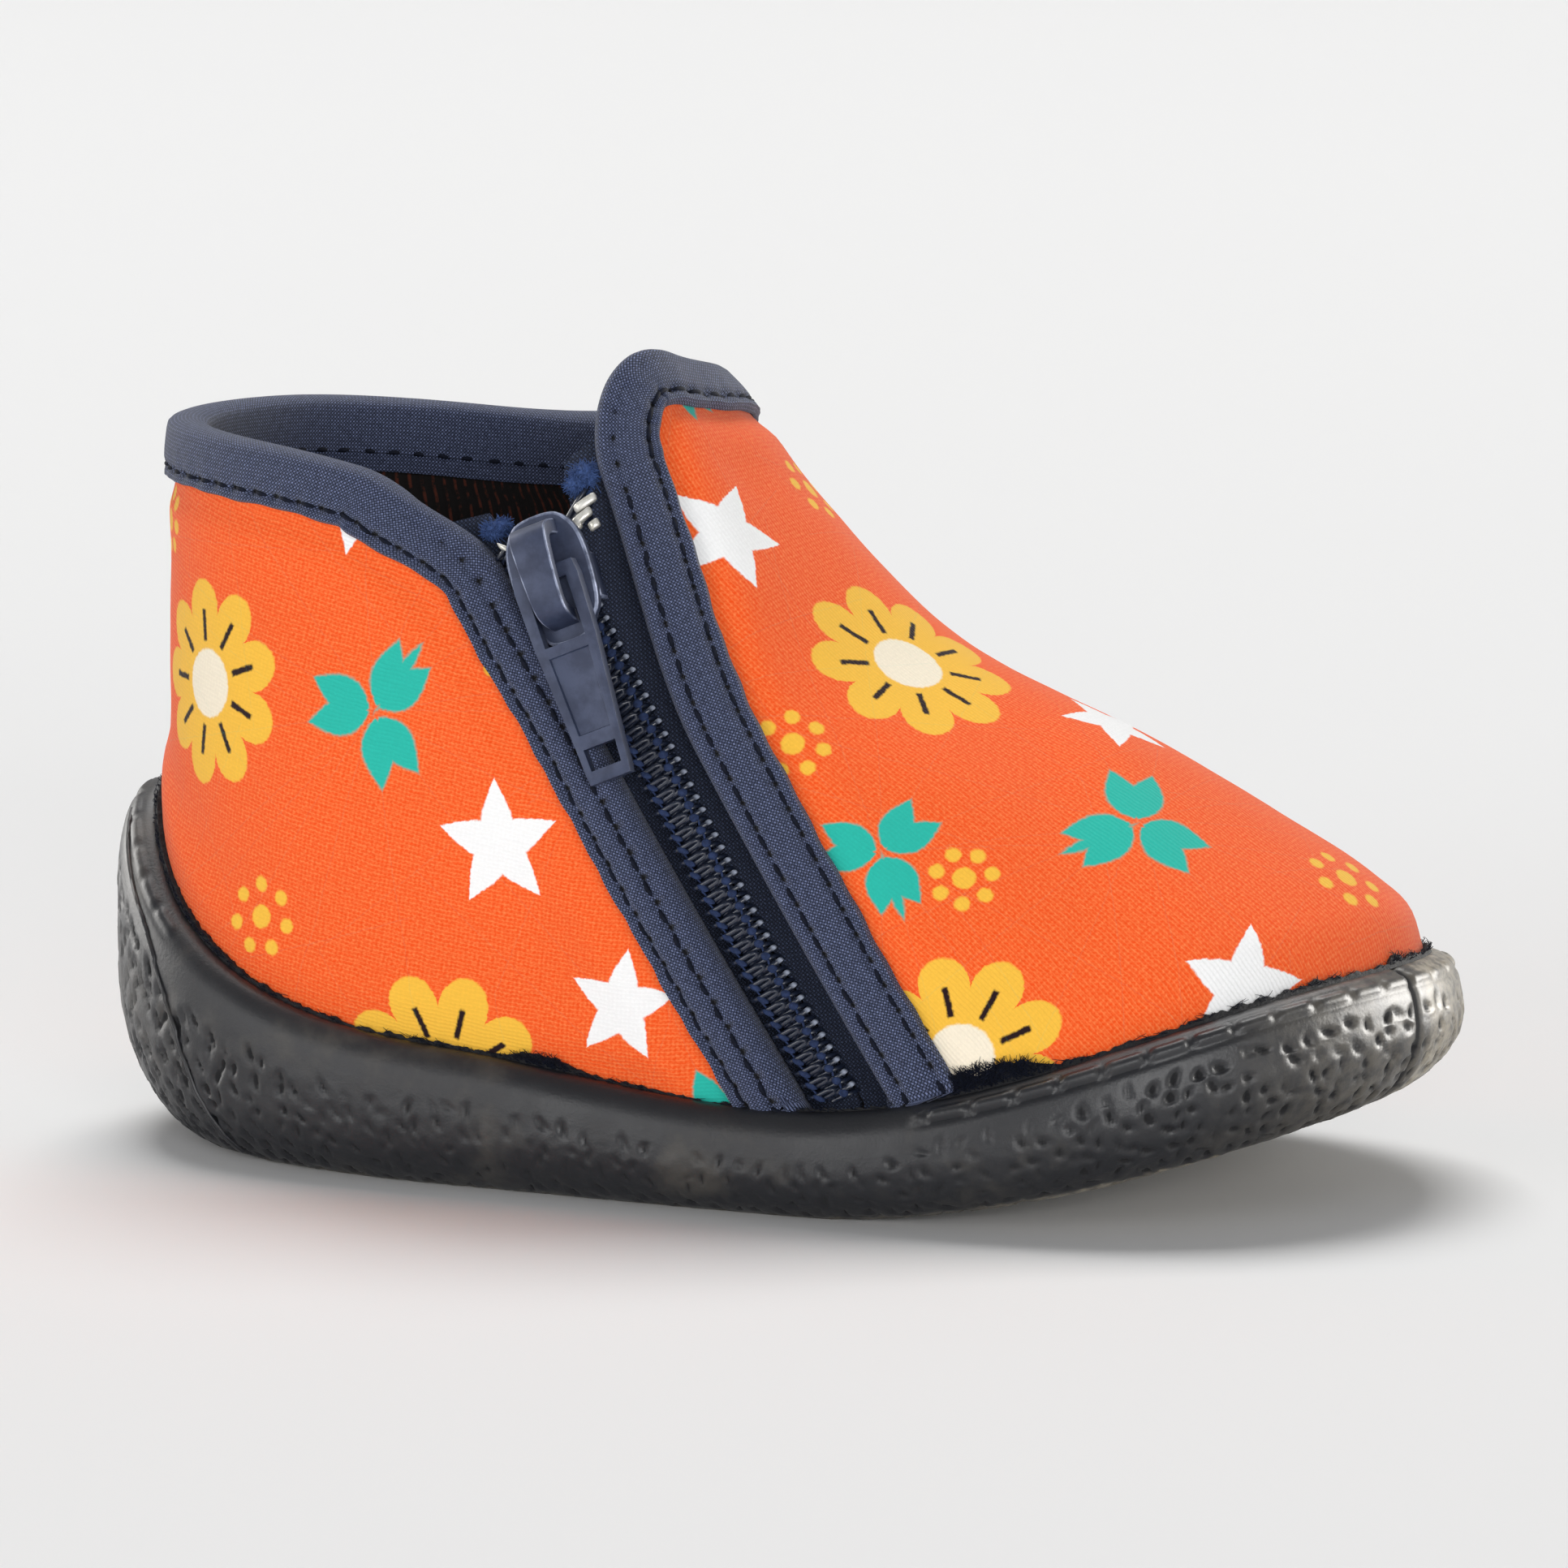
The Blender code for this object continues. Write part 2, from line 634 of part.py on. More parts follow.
def tape_mesh(side):
    """Tape in front of (side 1) or behind (side -1) the zip's line."""
    climbs = np.linspace(TAPE_LOW, TAPE_TOP, TAPE_ROWS)
    near = side * tape_parting(climbs)
    far = side * np.full_like(climbs, TAPE_WIDTH)
    sections = zip_strip(climbs, near, far, TAPE_FACE - TAPE_THICKNESS, TAPE_FACE)
    return tube_points(sections)


def coil_sections(climbs, middle, half_width):
    """Sections of a row of coil that swell and narrow from turn to turn."""
    sections = []
    base = TAPE_FACE + CLEARANCE
    for index, (climb, centre) in enumerate(zip(climbs, middle)):
        high = CHAIN_TOP if index % 2 else CHAIN_TOP - CHAIN_RIB
        shoulder = base + COIL_SHOULDER * (high - base)
        section = []
        for distance, height in (
            (centre - half_width, base),
            (centre - half_width, shoulder),
            (centre - COIL_CROWN * half_width, high),
            (centre + COIL_CROWN * half_width, high),
            (centre + half_width, shoulder),
            (centre + half_width, base),
        ):
            section.append(offset(across_zip(climb, distance), climb, height))
        sections.append(np.array(section))
    return sections


def coil_climbs(start, end):
    """Climbs from one length along the zip to another, two for each turn of the coil."""
    turns = int((end - start) / CHAIN_PITCH)
    return np.interp(np.linspace(start, end, 2 * turns + 1), ZIP_RUN, ZIP_CLIMBS)


def chain_mesh():
    start = np.interp(CHAIN_LOW, ZIP_CLIMBS, ZIP_RUN)
    climbs = coil_climbs(start, SLIDER_RUN - CHAIN_UNDER_SLIDER)
    return tube_points(coil_sections(climbs, np.zeros_like(climbs), CHAIN_HALF_WIDTH))


def open_row_mesh(side):
    """One open row of coil from above the slider to the zip's top stop."""
    end = np.interp(ROW_TOP, ZIP_CLIMBS, ZIP_RUN)
    climbs = coil_climbs(SLIDER_RUN + PLATE_END + ROW_ABOVE_SLIDER, end)
    middle = side * (tape_parting(climbs) + ROW_WIDTH / 2 - ROW_OVERHANG)
    return tube_points(coil_sections(climbs, middle, ROW_WIDTH / 2))


def slider_frame():
    """Axes at the slider's middle on the upper's face: across the zip, along it and out."""
    climb = np.array(SLIDER_CLIMB)
    _, up, normal = wall_frame(np.array(ZIP_PLACE), climb)
    along = Vector(up - normal * np.dot(up, normal)).normalized()
    out = Vector(normal).normalized()
    along.rotate(Matrix.Rotation(-math.radians(SLIDER_TURN), 3, out))
    out.rotate(Matrix.Rotation(-math.radians(SLIDER_ROLL), 3, along))
    across = along.cross(out)
    return across, along, out, Vector(wall(np.array(ZIP_PLACE), climb)) + across * SLIDER_SHIFT


def middle_of_box(points):
    """Point on the floor under the middle of the box round some points."""
    low, high = points.min(axis=0), points.max(axis=0)
    return np.array([(low[0] + high[0]) / 2, (low[1] + high[1]) / 2, low[2]])


SOLE_POINTS, SOLE_FACES = sole_mesh()
ORIGIN_SHIFT = middle_of_box(SOLE_POINTS)


def to_metres(points):
    return [tuple((np.asarray(point) - ORIGIN_SHIFT) * MM) for point in points]


def material(name):
    finish = FINISHES[name]
    made = bpy.data.materials.new(name)
    made.use_nodes = True
    shader = made.node_tree.nodes["Principled BSDF"]
    shader.inputs["Base Color"].default_value = finish.color
    shader.inputs["Roughness"].default_value = finish.roughness
    shader.inputs["Metallic"].default_value = finish.metallic
    return made


def add_object(name, points, faces, finish, round_angle=CLOTH_ROUND_ANGLE):
    """Object from points already in metres, its faces turned out and its round parts shaded smooth."""
    mesh = bpy.data.meshes.new(name)
    mesh.from_pydata(points, [], faces)
    work = bmesh.new()
    work.from_mesh(mesh)
    bmesh.ops.recalc_face_normals(work, faces=work.faces)
    work.to_mesh(mesh)
    work.free()
    mesh.shade_smooth()
    mesh.set_sharp_from_angle(angle=math.radians(round_angle))
    mesh.materials.append(finish)
    made = bpy.data.objects.new(name, mesh)
    bpy.context.scene.collection.objects.link(made)
    return made


def prism(rows, low, high):
    """Flat plate along Y from rows of half widths, between two heights."""
    outline = [(-row.half_width, row.along) for row in rows]
    outline += [(row.half_width, row.along) for row in reversed(rows)]
    sections = [np.array([(x, y, height) for x, y in outline]) for height in (low, high)]
    return tube_points(sections)


def box(low, high):
    """Block between two corners."""
    outline = ((low[0], low[1]), (high[0], low[1]), (high[0], high[1]), (low[0], high[1]))
    sections = [np.array([(x, y, height) for x, y in outline]) for height in (low[2], high[2])]
    return tube_points(sections)


def bridge_bar():
    """Arched bar over the slider's plate."""
    sections = []
    for row in SLIDER_BRIDGE:
        outer = (row.outer_along, row.outer_out)
        inner = (row.inner_along, row.inner_out)
        half = row.half_width
        corners = ((-half, *inner), (half, *inner), (half, *outer), (-half, *outer))
        sections.append(np.array(corners))
    return tube_points(sections)


def add_slider(frame, finish):
    """Slider in its own axes, its plates, neck, flanges and bridge joined into one solid."""
    across, along, out, middle = frame
    pieces = [
        prism(SLIDER_PLATE, PLATE_LOW, PLATE_HIGH),
        prism(INNER_PLATE, INNER_PLATE_LOW, INNER_PLATE_HIGH),
        box(
            (-NECK_HALF_WIDTH, NECK_START, INNER_PLATE_HIGH - JOIN_OVERLAP),
            (NECK_HALF_WIDTH, NECK_END, PLATE_LOW + JOIN_OVERLAP),
        ),
        bridge_bar(),
    ]
    for side in (-1, 1):
        edges = sorted((side * FLANGE_INSIDE, side * FLANGE_OUTSIDE))
        low = (edges[0], FLANGE_START, FLANGE_LOW)
        pieces.append(box(low, (edges[1], FLANGE_END, PLATE_LOW + JOIN_OVERLAP)))
    made = []
    for index, (points, faces) in enumerate(pieces):
        name = "zip_slider" if index == 0 else f"slider_piece_{index}"
        in_metres = [tuple(point * MM) for point in points]
        made.append(add_object(name, in_metres, faces, finish, METAL_ROUND_ANGLE))
    place = Matrix((across, along, out)).transposed().to_4x4()
    place.translation = (middle - Vector(ORIGIN_SHIFT)) * MM
    for piece in made:
        piece.matrix_world = place
    slider = made[0]
    for piece in made[1:]:
        piece.hide_render = True
        piece.display_type = "WIRE"
        join = slider.modifiers.new(piece.name, "BOOLEAN")
        join.operation = "UNION"
        join.solver = "EXACT"
        join.object = piece
    return slider


def tab_mesh():
    """Pull tab lying along -Y from its pivot, with two windows and a sunk panel on its outer face."""
    work = bmesh.new()
    low = -TAB_THICKNESS / 2
    lines = []
    for row in PULL_TAB:
        widths = (-row.half_width, -row.window_half, row.window_half, row.half_width)
        lines.append([work.verts.new((x, -row.along, low)) for x in widths])
    for row, near, far in zip(PULL_TAB, lines[:-1], lines[1:]):
        for column in range(3):
            if column == 1 and row.middle == "open":
                continue
            work.faces.new((near[column], near[column + 1], far[column + 1], far[column]))
    raised = bmesh.ops.extrude_face_region(work, geom=work.faces[:])
    lifted = [item for item in raised["geom"] if isinstance(item, bmesh.types.BMVert)]
    bmesh.ops.translate(work, verts=lifted, vec=(0, 0, TAB_THICKNESS))
    bmesh.ops.recalc_face_normals(work, faces=work.faces)
    first = [row.middle for row in PULL_TAB].index("panel")
    middle = Vector((0, -(PULL_TAB[first].along + PULL_TAB[first + 1].along) / 2, TAB_THICKNESS / 2))
    panel = min(work.faces, key=lambda face: (face.calc_center_median() - middle).length)
    bmesh.ops.inset_region(work, faces=[panel], thickness=TAB_PANEL_EDGE, depth=0.0)
    bmesh.ops.translate(work, verts=panel.verts, vec=(0, 0, -TAB_PANEL_DEPTH))
    work.verts.ensure_lookup_table()
    work.verts.index_update()
    points = [tuple(vert.co * MM) for vert in work.verts]
    faces = [[vert.index for vert in face.verts] for face in work.faces]
    work.free()
    return points, faces


def add_tab(frame, finish):
    """Pull tab with its origin on its pivot under the slider's bridge."""
    across, along, out, middle = frame
    tab = add_object("zip_pull_tab", *tab_mesh(), finish, METAL_ROUND_ANGLE)
    pivot = middle + along * PIVOT_ALONG + out * PIVOT_OUT
    lean = Matrix.Rotation(math.radians(TAB_REST_LEAN), 3, across)
    place = (lean @ Matrix((across, along, out)).transposed()).to_4x4()
    place.translation = (pivot - Vector(ORIGIN_SHIFT)) * MM
    tab.matrix_world = place
    return tab


def main():
    for old in list(bpy.data.objects):
        bpy.data.objects.remove(old, do_unlink=True)
    finishes = {name: material(name) for name in FINISHES}
    pieces = (
        ("sole", (SOLE_POINTS, SOLE_FACES), "sole"),
        ("insole", insole_mesh(), "insole"),
        ("upper", upper_mesh(), "upper"),
        ("edge_binding", binding_mesh(), "edge_binding"),
        ("zip_tape_rear", tape_mesh(-1), "zip_tape"),
        ("zip_tape_front", tape_mesh(1), "zip_tape"),
        ("zip_chain", chain_mesh(), "zip_coil"),
        ("zip_row_rear", open_row_mesh(-1), "zip_coil"),
        ("zip_row_front", open_row_mesh(1), "zip_coil"),
    )
    for name, (points, faces), finish in pieces:
        add_object(name, to_metres(points), faces, finishes[finish])
    frame = slider_frame()
    add_slider(frame, finishes["zip_metal"])
    add_tab(frame, finishes["zip_metal"])


main()
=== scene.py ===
"""Looks of the zipped bootie slipper: knit upper, bias binding, coil zip and moulded rubber sole.

The shoe's form is worked out in millimetres from the same ribs as its solids, and the meshes are in
metres. +X points to the toe, -Y to the outer side with the zip and +Z up.
"""

import math
from collections import namedtuple

import bpy
import numpy as np
from mathutils import Matrix, Vector, noise


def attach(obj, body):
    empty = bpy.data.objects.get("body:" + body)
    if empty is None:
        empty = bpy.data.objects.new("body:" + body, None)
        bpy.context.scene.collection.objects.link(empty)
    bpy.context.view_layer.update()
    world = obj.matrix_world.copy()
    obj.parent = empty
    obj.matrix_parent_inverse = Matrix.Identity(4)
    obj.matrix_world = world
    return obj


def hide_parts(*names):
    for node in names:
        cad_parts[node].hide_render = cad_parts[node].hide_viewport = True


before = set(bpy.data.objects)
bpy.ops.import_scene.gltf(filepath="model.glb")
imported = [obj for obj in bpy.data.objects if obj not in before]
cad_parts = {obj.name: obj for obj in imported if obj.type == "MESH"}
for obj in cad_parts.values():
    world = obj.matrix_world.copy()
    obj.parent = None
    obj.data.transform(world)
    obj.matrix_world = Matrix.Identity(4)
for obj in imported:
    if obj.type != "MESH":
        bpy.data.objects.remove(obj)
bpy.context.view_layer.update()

MM = 0.001
CLEARANCE = 0.3
SEED = 7
FULL_TURN = 2 * math.pi
WELD_DISTANCE = 0.01

# Form of the upper's wall
WALL_THICKNESS = 2.0
FULLNESS = 1.3
TUCK = 0.8
SLOT_REAR = 6.2
SLOT_FRONT = 4.7
REAR_SPREAD = 2.7
FRONT_SPREAD = 3.4
SPREAD_START = 0.55
REAR_CORNER = 9.0
FRONT_CORNER = 7.0

# Form of the sole
BED_THICKNESS = 5.5
SPRING_START = 10.0
SPRING_END = 61.0
TOE_SPRING = 10.8
SPRING_POWER = 1.58
ARCH_MIDDLE = -14.0
ARCH_HALF_LENGTH = 13.0
ARCH_RISE = 1.2
CUP_CLIMBS = (-1.0, -0.85, -0.5, -0.2)
BAND_DEPTH = 4.0
STEP_OUT = 0.35
EDGE_MARGIN = 0.8

# One rib a row, from the heel's back round the outer side, the toe and the inner side
Rib = namedtuple(
    "Rib", "place rim_x rim_y rim_z collar_x collar_y collar_z crest sag swell flare under edge"
)
RIBS = (
    Rib("heel back", -60.6, 0.5, 32.6, -58.7, 0.0, 67.0, 0.0, 0.0, 0.0, 4.4, 12.0, 17.0),
    Rib("heel outer", -55.4, -12.8, 24.4, -54.1, -11.7, 66.9, 0.0, 0.0, 0.0, 4.2, 9.0, 13.0),
    Rib("counter outer", -42.0, -20.4, 16.2, -44.1, -17.8, 66.3, 0.0, 0.0, -0.3, 3.6, 6.0, 8.0),
    Rib("quarter outer", -20.0, -23.6, 12.8, -32.8, -20.0, 64.5, 0.0, 0.0, -0.8, 3.5, 5.0, 6.0),
    Rib("zip", 15.0, -26.4, 10.5, -20.8, -18.4, 66.8, 0.0, 0.0, -1.5, 3.5, 5.0, 5.5),
    Rib("ball outer", 35.0, -25.0, 15.6, -11.2, -13.4, 75.2, 0.5, 2.0, -0.8, 3.6, 6.0, 7.0),
    Rib("toe outer", 51.4, -16.4, 21.0, -8.2, -7.2, 75.0, 0.85, 2.0, 0.0, 3.8, 9.0, 9.5),
    Rib("toe tip", 60.3, 2.5, 22.0, -6.9, 0.5, 73.2, 1.0, 0.0, 0.0, 3.9, 11.0, 10.0),
    Rib("toe inner", 54.8, 16.8, 20.0, -8.4, 7.6, 71.4, 0.85, 2.0, 0.0, 3.8, 9.0, 9.0),
    Rib("ball inner", 38.0, 24.5, 16.0, -12.0, 13.4, 68.4, 0.5, 2.0, 0.8, 3.6, 6.0, 7.0),
    Rib("waist inner", 8.0, 21.2, 11.5, -21.3, 18.1, 66.0, 0.0, 0.0, 1.2, 3.5, 5.0, 5.5),
    Rib("quarter inner", -20.0, 19.8, 12.8, -32.8, 20.0, 65.5, 0.0, 0.0, 0.8, 3.5, 5.0, 6.0),
    Rib("counter inner", -42.0, 19.0, 16.2, -44.1, 17.7, 66.3, 0.0, 0.0, 0.3, 3.6, 6.0, 8.0),
    Rib("heel inner", -55.4, 12.4, 24.4, -54.1, 11.5, 66.9, 0.0, 0.0, 0.0, 4.2, 9.0, 13.0),
)
ZIP_RIB = 4
TOE_RIB = 7

# The vamp's centre line from the rim at the toe to the collar's front
Crest = namedtuple("Crest", "x z")
VAMP_CREST = (
    Crest(60.3, 22.0),
    Crest(57.9, 27.0),
    Crest(52.0, 31.5),
    Crest(42.5, 37.0),
    Crest(33.0, 42.0),
    Crest(21.0, 47.3),
    Crest(11.5, 54.0),
    Crest(2.0, 63.4),
    Crest(-6.9, 73.2),
)

# The sole's lip and smooth band: mm below the rim and share of the way out to the step
BandRow = namedtuple("BandRow", "drop out")
SOLE_BAND = (
    BandRow(0.45, 0.0),
    BandRow(0.08, 0.07),
    BandRow(0.0, 0.2),
    BandRow(0.16, 0.40),
    BandRow(0.72, 0.64),
    BandRow(1.7, 0.86),
    BandRow(2.9, 0.97),
    BandRow(BAND_DEPTH, 1.0),
)

# The mould line down each side of the heel: place round the rim and mm below it
RidgeRow = namedtuple("RidgeRow", "place below")
HEEL_RIDGE = (
    RidgeRow(5.0, 3.2),
    RidgeRow(9.0, 3.9),
    RidgeRow(13.5, 4.5),
    RidgeRow(16.0, 5.4),
    RidgeRow(18.5, 8.0),
    RidgeRow(21.0, 12.0),
    RidgeRow(25.0, 20.0),
)

# Where the pits begin: rib and mm below the band
PitStart = namedtuple("PitStart", "rib below")
PIT_STARTS = (
    PitStart(0.0, 0.0),
    PitStart(0.75, 0.4),
    PitStart(1.3, 2.2),
    PitStart(2.0, 1.7),
    PitStart(3.0, 1.0),
    PitStart(4.2, 0.9),
    PitStart(5.0, -0.4),
    PitStart(9.0, -0.4),
    PitStart(9.8, 0.9),
    PitStart(11.0, 1.0),
    PitStart(12.0, 1.7),
    PitStart(12.7, 2.2),
    PitStart(13.25, 0.4),
    PitStart(14.0, 0.0),
)

# Torn patches of the rim's ragged edge: middle and half length in ribs, height over the rest in mm
TornPatch = namedtuple("TornPatch", "rib half_length height")
TORN_PATCHES = (
    TornPatch(0.9, 0.8, 0.3),
    TornPatch(3.15, 0.09, 0.8),
    TornPatch(4.66, 0.24, 1.7),
    TornPatch(6.72, 0.05, 0.5),
    TornPatch(13.1, 0.8, 0.3),
)

# Sole: rows of its section and its moulded marks
SOLE_COLUMNS = 1000
BAND_ROWS = 24
SIDE_ROWS = 12
EDGE_ROWS = 42
BED_ROWS = 2
TREAD_ROWS = 4
SOFT_STEP_START = 2.4
SOFT_STEP_LENGTH = 4.0
PIT_PITCH = 2.2
PIT_ROW_PITCH = 1.7
PIT_SKIP = 0.14
PIT_HALF_LENGTHS = (0.5, 0.95)
PIT_HALF_WIDTHS = (0.28, 0.46)
PIT_DEPTHS = (0.26, 0.6)
PIT_LEAN = 1.15
PIT_RIM = 0.13
PIT_WINDOW = 7
PIT_REACH = 2.4
FAINT_PITS = 0.55
BOLD_PITS_START = 28.0
BOLD_PITS_LENGTH = 24.0
TOE_GROOVE_BACK = 7.0
TOE_GROOVE_DEPTH = 0.45
TOE_GROOVE_WIDTH = 0.36
RIDGE_POINTS = 60
RIDGE_RADIUS = 0.24
RIDGE_SIDES = 6
TREAD_RIM = 0.18
TREAD_RIM_ABOVE = 0.4
TREAD_RIM_WIDTH = 0.22
DASH_PITCH = 4.25
DASH_LENGTH = 3.35
DASH_HEIGHT = 1.25
DASH_DROP = 2.7
DASH_RAISE = 0.5

# Where the rubber is dusty, painted pale as the highlight of side light, or carries false stitches: from one
# rib to another, how softly it starts and ends in ribs, and how strong it is
RimZone = namedtuple("RimZone", "start soft_start end soft_end strength")
FORE_DUST = RimZone(4.0, 1.5, 10.0, 1.5, 1.0)
# The toe's end, the rubber near the toe and the heel's low part are painted pale as the highlight of side
# light, with some dust
TOE_DUST_AND_LIGHT = RimZone(6.72, 0.06, 8.3, 0.5, 0.75)
NEAR_TOE_DUST_AND_LIGHT = RimZone(5.6, 1.0, 9.0, 1.0, 0.25)
HEEL_DUST_AND_LIGHT = RimZone(13.1, 0.8, 14.9, 0.8, 0.5)
FORE_DASHES = RimZone(4.3, 0.1, 9.7, 0.1, 1.0)
HEEL_DASHES = RimZone(12.7, 0.1, 15.3, 0.1, 0.4)

# Knit cloth of the upper
CLOTH_FRONT_COLUMNS = 58
CLOTH_REAR_COLUMNS = 18
CLOTH_ROWS = 26
CLOTH_TUCKED_ROWS = 3
CLOTH_SUBDIVISIONS = 2
BOUND_WIDTH = 4.6
Swell = namedtuple("Swell", "height middle width")
EDGE_SWELL = Swell(0.45, 7.5, 3.2)
RIM_SWELL = Swell(0.5, 4.0, 2.6)
Lump = namedtuple("Lump", "height size seed")
CLOTH_LUMPS = (Lump(0.16, 11.0, 1), Lump(0.06, 4.0, 2))
SOLE_LUMPS = (Lump(0.09, 1.9, 3), Lump(0.05, 0.8, 4))
KNIT_COURSE = 0.37
KNIT_LOOP = 0.45
LINING_LENGTH = 270.0
LINING_RIB = 1.9

# Soft troughs (below nought) and ridges of the upper, between two points given by rib and climb
Crease = namedtuple("Crease", "name rib climb to_rib to_climb width depth")
CREASES = (
    Crease("hollow over the counter", 13.4, 0.22, 15.4, 0.16, 7.0, -0.5),
    Crease("rear quarter swell", 2.0, 0.55, 3.0, 0.42, 11.0, 0.6),
    Crease("hollow behind the zip", 3.35, 0.30, 3.55, 0.70, 5.0, -0.35),
    Crease("ridge before the zip", 4.55, 0.22, 4.75, 0.72, 5.5, 0.4),
    Crease("instep trough", 5.3, 0.62, 7.0, 0.66, 8.0, -0.5),
    Crease("ball trough outer", 5.2, 0.10, 6.2, 0.42, 6.5, -0.45),
    Crease("ball ridge outer", 5.7, 0.08, 6.5, 0.36, 5.5, 0.35),
    Crease("ball trough inner", 8.8, 0.10, 7.8, 0.42, 6.5, -0.4),
    Crease("inner quarter swell", 10.6, 0.5, 11.6, 0.45, 12.0, 0.6),
    Crease("inner ankle trough", 9.7, 0.55, 10.4, 0.80, 7.0, -0.45),
)

# Bias binding
BINDING_STEP = 0.36
BINDING_LOW = -0.25
BINDING_REAR_FOLD = 2.1
BINDING_FRONT_FOLD = 1.15
BINDING_COLLAR_WIDTH = 4.4
BINDING_REAR_WIDTH = 3.7
BINDING_FRONT_WIDTH = 5.3
BINDING_COLLAR_INNER = 3.9
BINDING_ZIP_INNER = 0.8
BINDING_SELVAGE = 1.9
BINDING_BLEND = 14.0
BINDING_SKIN = 1.02
BIAS_THREAD = 0.25
STITCH_PITCH = 2.6
STITCH_START = 1.3
STITCH_LENGTH = 1.75
STITCH_THICKNESS = 0.48
STITCH_EDGE_ZIP = 1.2
STITCH_LEVEL = 0.8
GROOVE_WIDTH = 0.36
GROOVE_DEPTH = 0.3
NEEDLE_HOLE_LENGTH = 0.42
NEEDLE_HOLE_WIDTH = 0.26
NEEDLE_HOLE_DEPTH = 0.55
STITCH_EDGE_COLLAR = 1.15
STITCH_FOLD_REAR = 0.15
STITCH_FOLD_FRONT = 0.65

# Zip
COIL_PITCH = 1.3
COIL_SHIFT = -0.9
COIL_SHIFT_START = 12.0
COIL_SHIFT_LENGTH = 36.0
COIL_LOW = 0.012
COIL_MARGIN = 0.4
WIRE_RADIUS = 0.23
# The turns' outer bends beyond these are painted pale as a highlight
BEND_ACROSS = 2.05
BEND_HEIGHT = -0.8
COIL_SLANT = 0.45
COIL_DIP = 0.4
ROW_SHORT = 3.4
ROW_OUT = 0.6
# Strength of that painted bend highlight on the rear row
REAR_PAINTED_HIGHLIGHT = 0.3
KNOT_ACROSS = 1.2
SLIDER_CLIMB = 0.815
SLIDER_COVER = 0.5
SLIDER_REACH = 4.0
ROW_TOP = 0.955
SLIDER_TURN = 9.0
SLIDER_ROLL = 8.0
SLIDER_SHIFT = -0.2
TAPE_PARTING = 0.2
TAPE_SPREAD = 4.2
SPREAD_BELOW_SLIDER = 3.0
SPREAD_LENGTH = 15.0
TAPE_THREAD = 0.27
SLIDER_EDGE = 0.28
TAB_EDGE = 0.2

# One hairpin turn of the nylon wire, from its outer bend along one leg to its head and back along the other
Wire = namedtuple("Wire", "across along height radius")
COIL_TURN = (
    Wire(1.55, 0.34, -2.4, 1.0),
    Wire(2.0, 0.32, -1.7, 1.0),
    Wire(2.2, 0.28, -1.0, 1.0),
    Wire(2.1, 0.24, -0.45, 1.0),
    Wire(1.7, 0.2, -0.15, 1.0),
    Wire(0.9, 0.2, -0.08, 1.0),
    Wire(0.1, 0.2, -0.1, 1.0),
    Wire(-0.4, 0.15, -0.16, 1.05),
    Wire(-0.62, 0.0, -0.2, 1.1),
    Wire(-0.4, -0.15, -0.24, 1.05),
    Wire(0.1, -0.2, -0.26, 1.0),
    Wire(0.9, -0.2, -0.3, 1.0),
    Wire(1.5, -0.24, -0.6, 1.0),
    Wire(1.8, -0.3, -1.3, 1.0),
    Wire(1.6, -0.34, -2.4, 1.0),
)
WIRE_SIDES = 7

# Frayed tuft at the top of each tape: its middle across, along and out of the zip, and its half sizes
Tuft = namedtuple("Tuft", "across below out half_across half_along half_out")
TAPE_TUFTS = (
    Tuft(-3.9, 1.7, -1.1, 2.0, 0.8, 1.0),
    Tuft(5.2, 2.0, -0.9, 1.45, 1.15, 1.0),
)
TUFT_HAIRS = 700
TUFT_CORE = 0.9
TUFT_ROOT = 0.85
HAIR_RADIUS = 0.06

# Bright stops on the open rows: side of the zip, place across it, mm below the rows' top, length and lean
Stop = namedtuple("Stop", "side across below length lean")
TOP_STOPS = (
    Stop(1, 4.7, 4.1, 2.1, 0.1),
    Stop(1, 4.0, 5.0, 1.9, 0.3),
    Stop(1, 3.1, 5.5, 1.3, 0.25),
    Stop(1, 4.6, 6.1, 1.0, 0.1),
    Stop(-1, 3.6, 4.2, 1.4, -1.2),
)
STOP_SQUARENESS = 0.4
STOP_WIDTH = 0.75
STOP_HEIGHT = 0.9

# Ragged edge of rubber and fluff at the rim, in mm
FLASH_COLUMNS = 1500
FLASH_ROWS = 4
FLASH_LOW = 0.3
FLASH_ROOT = 0.5
FLASH_OUT = 0.55
FLASH_FOOT = 0.22
FLASH_THICKNESS = 0.5
FLUFF_FIBRES = 2000
FLUFF_OUT = 0.62
FIBRE_RADIUS = 0.05

# The slider's plates: half as wide at each place along them
PlateRow = namedtuple("PlateRow", "along half_width")
OUTER_PLATE = (
    PlateRow(-5.7, 1.9),
    PlateRow(-4.3, 2.6),
    PlateRow(-3.1, 3.7),
    PlateRow(1.0, 4.0),
    PlateRow(4.0, 3.8),
    PlateRow(5.8, 2.8),
    PlateRow(6.6, 1.6),
)
INNER_PLATE = (
    PlateRow(-4.6, 2.6),
    PlateRow(1.0, 3.3),
    PlateRow(5.0, 2.8),
    PlateRow(6.2, 1.6),
)
OUTER_LEVELS = (0.7, 1.9)
INNER_LEVELS = (-6.2, -5.2)
# Upright blocks of the slider: its neck and the flanges at both sides
Block = namedtuple("Block", "across half_width start end low high")
SLIDER_BLOCKS = (
    Block(0.0, 0.9, 3.2, 5.8, -5.7, 1.2),
    Block(3.5, 0.3, -2.6, 2.0, -0.9, 1.2),
    Block(-3.5, 0.3, -2.6, 2.0, -0.9, 1.2),
)
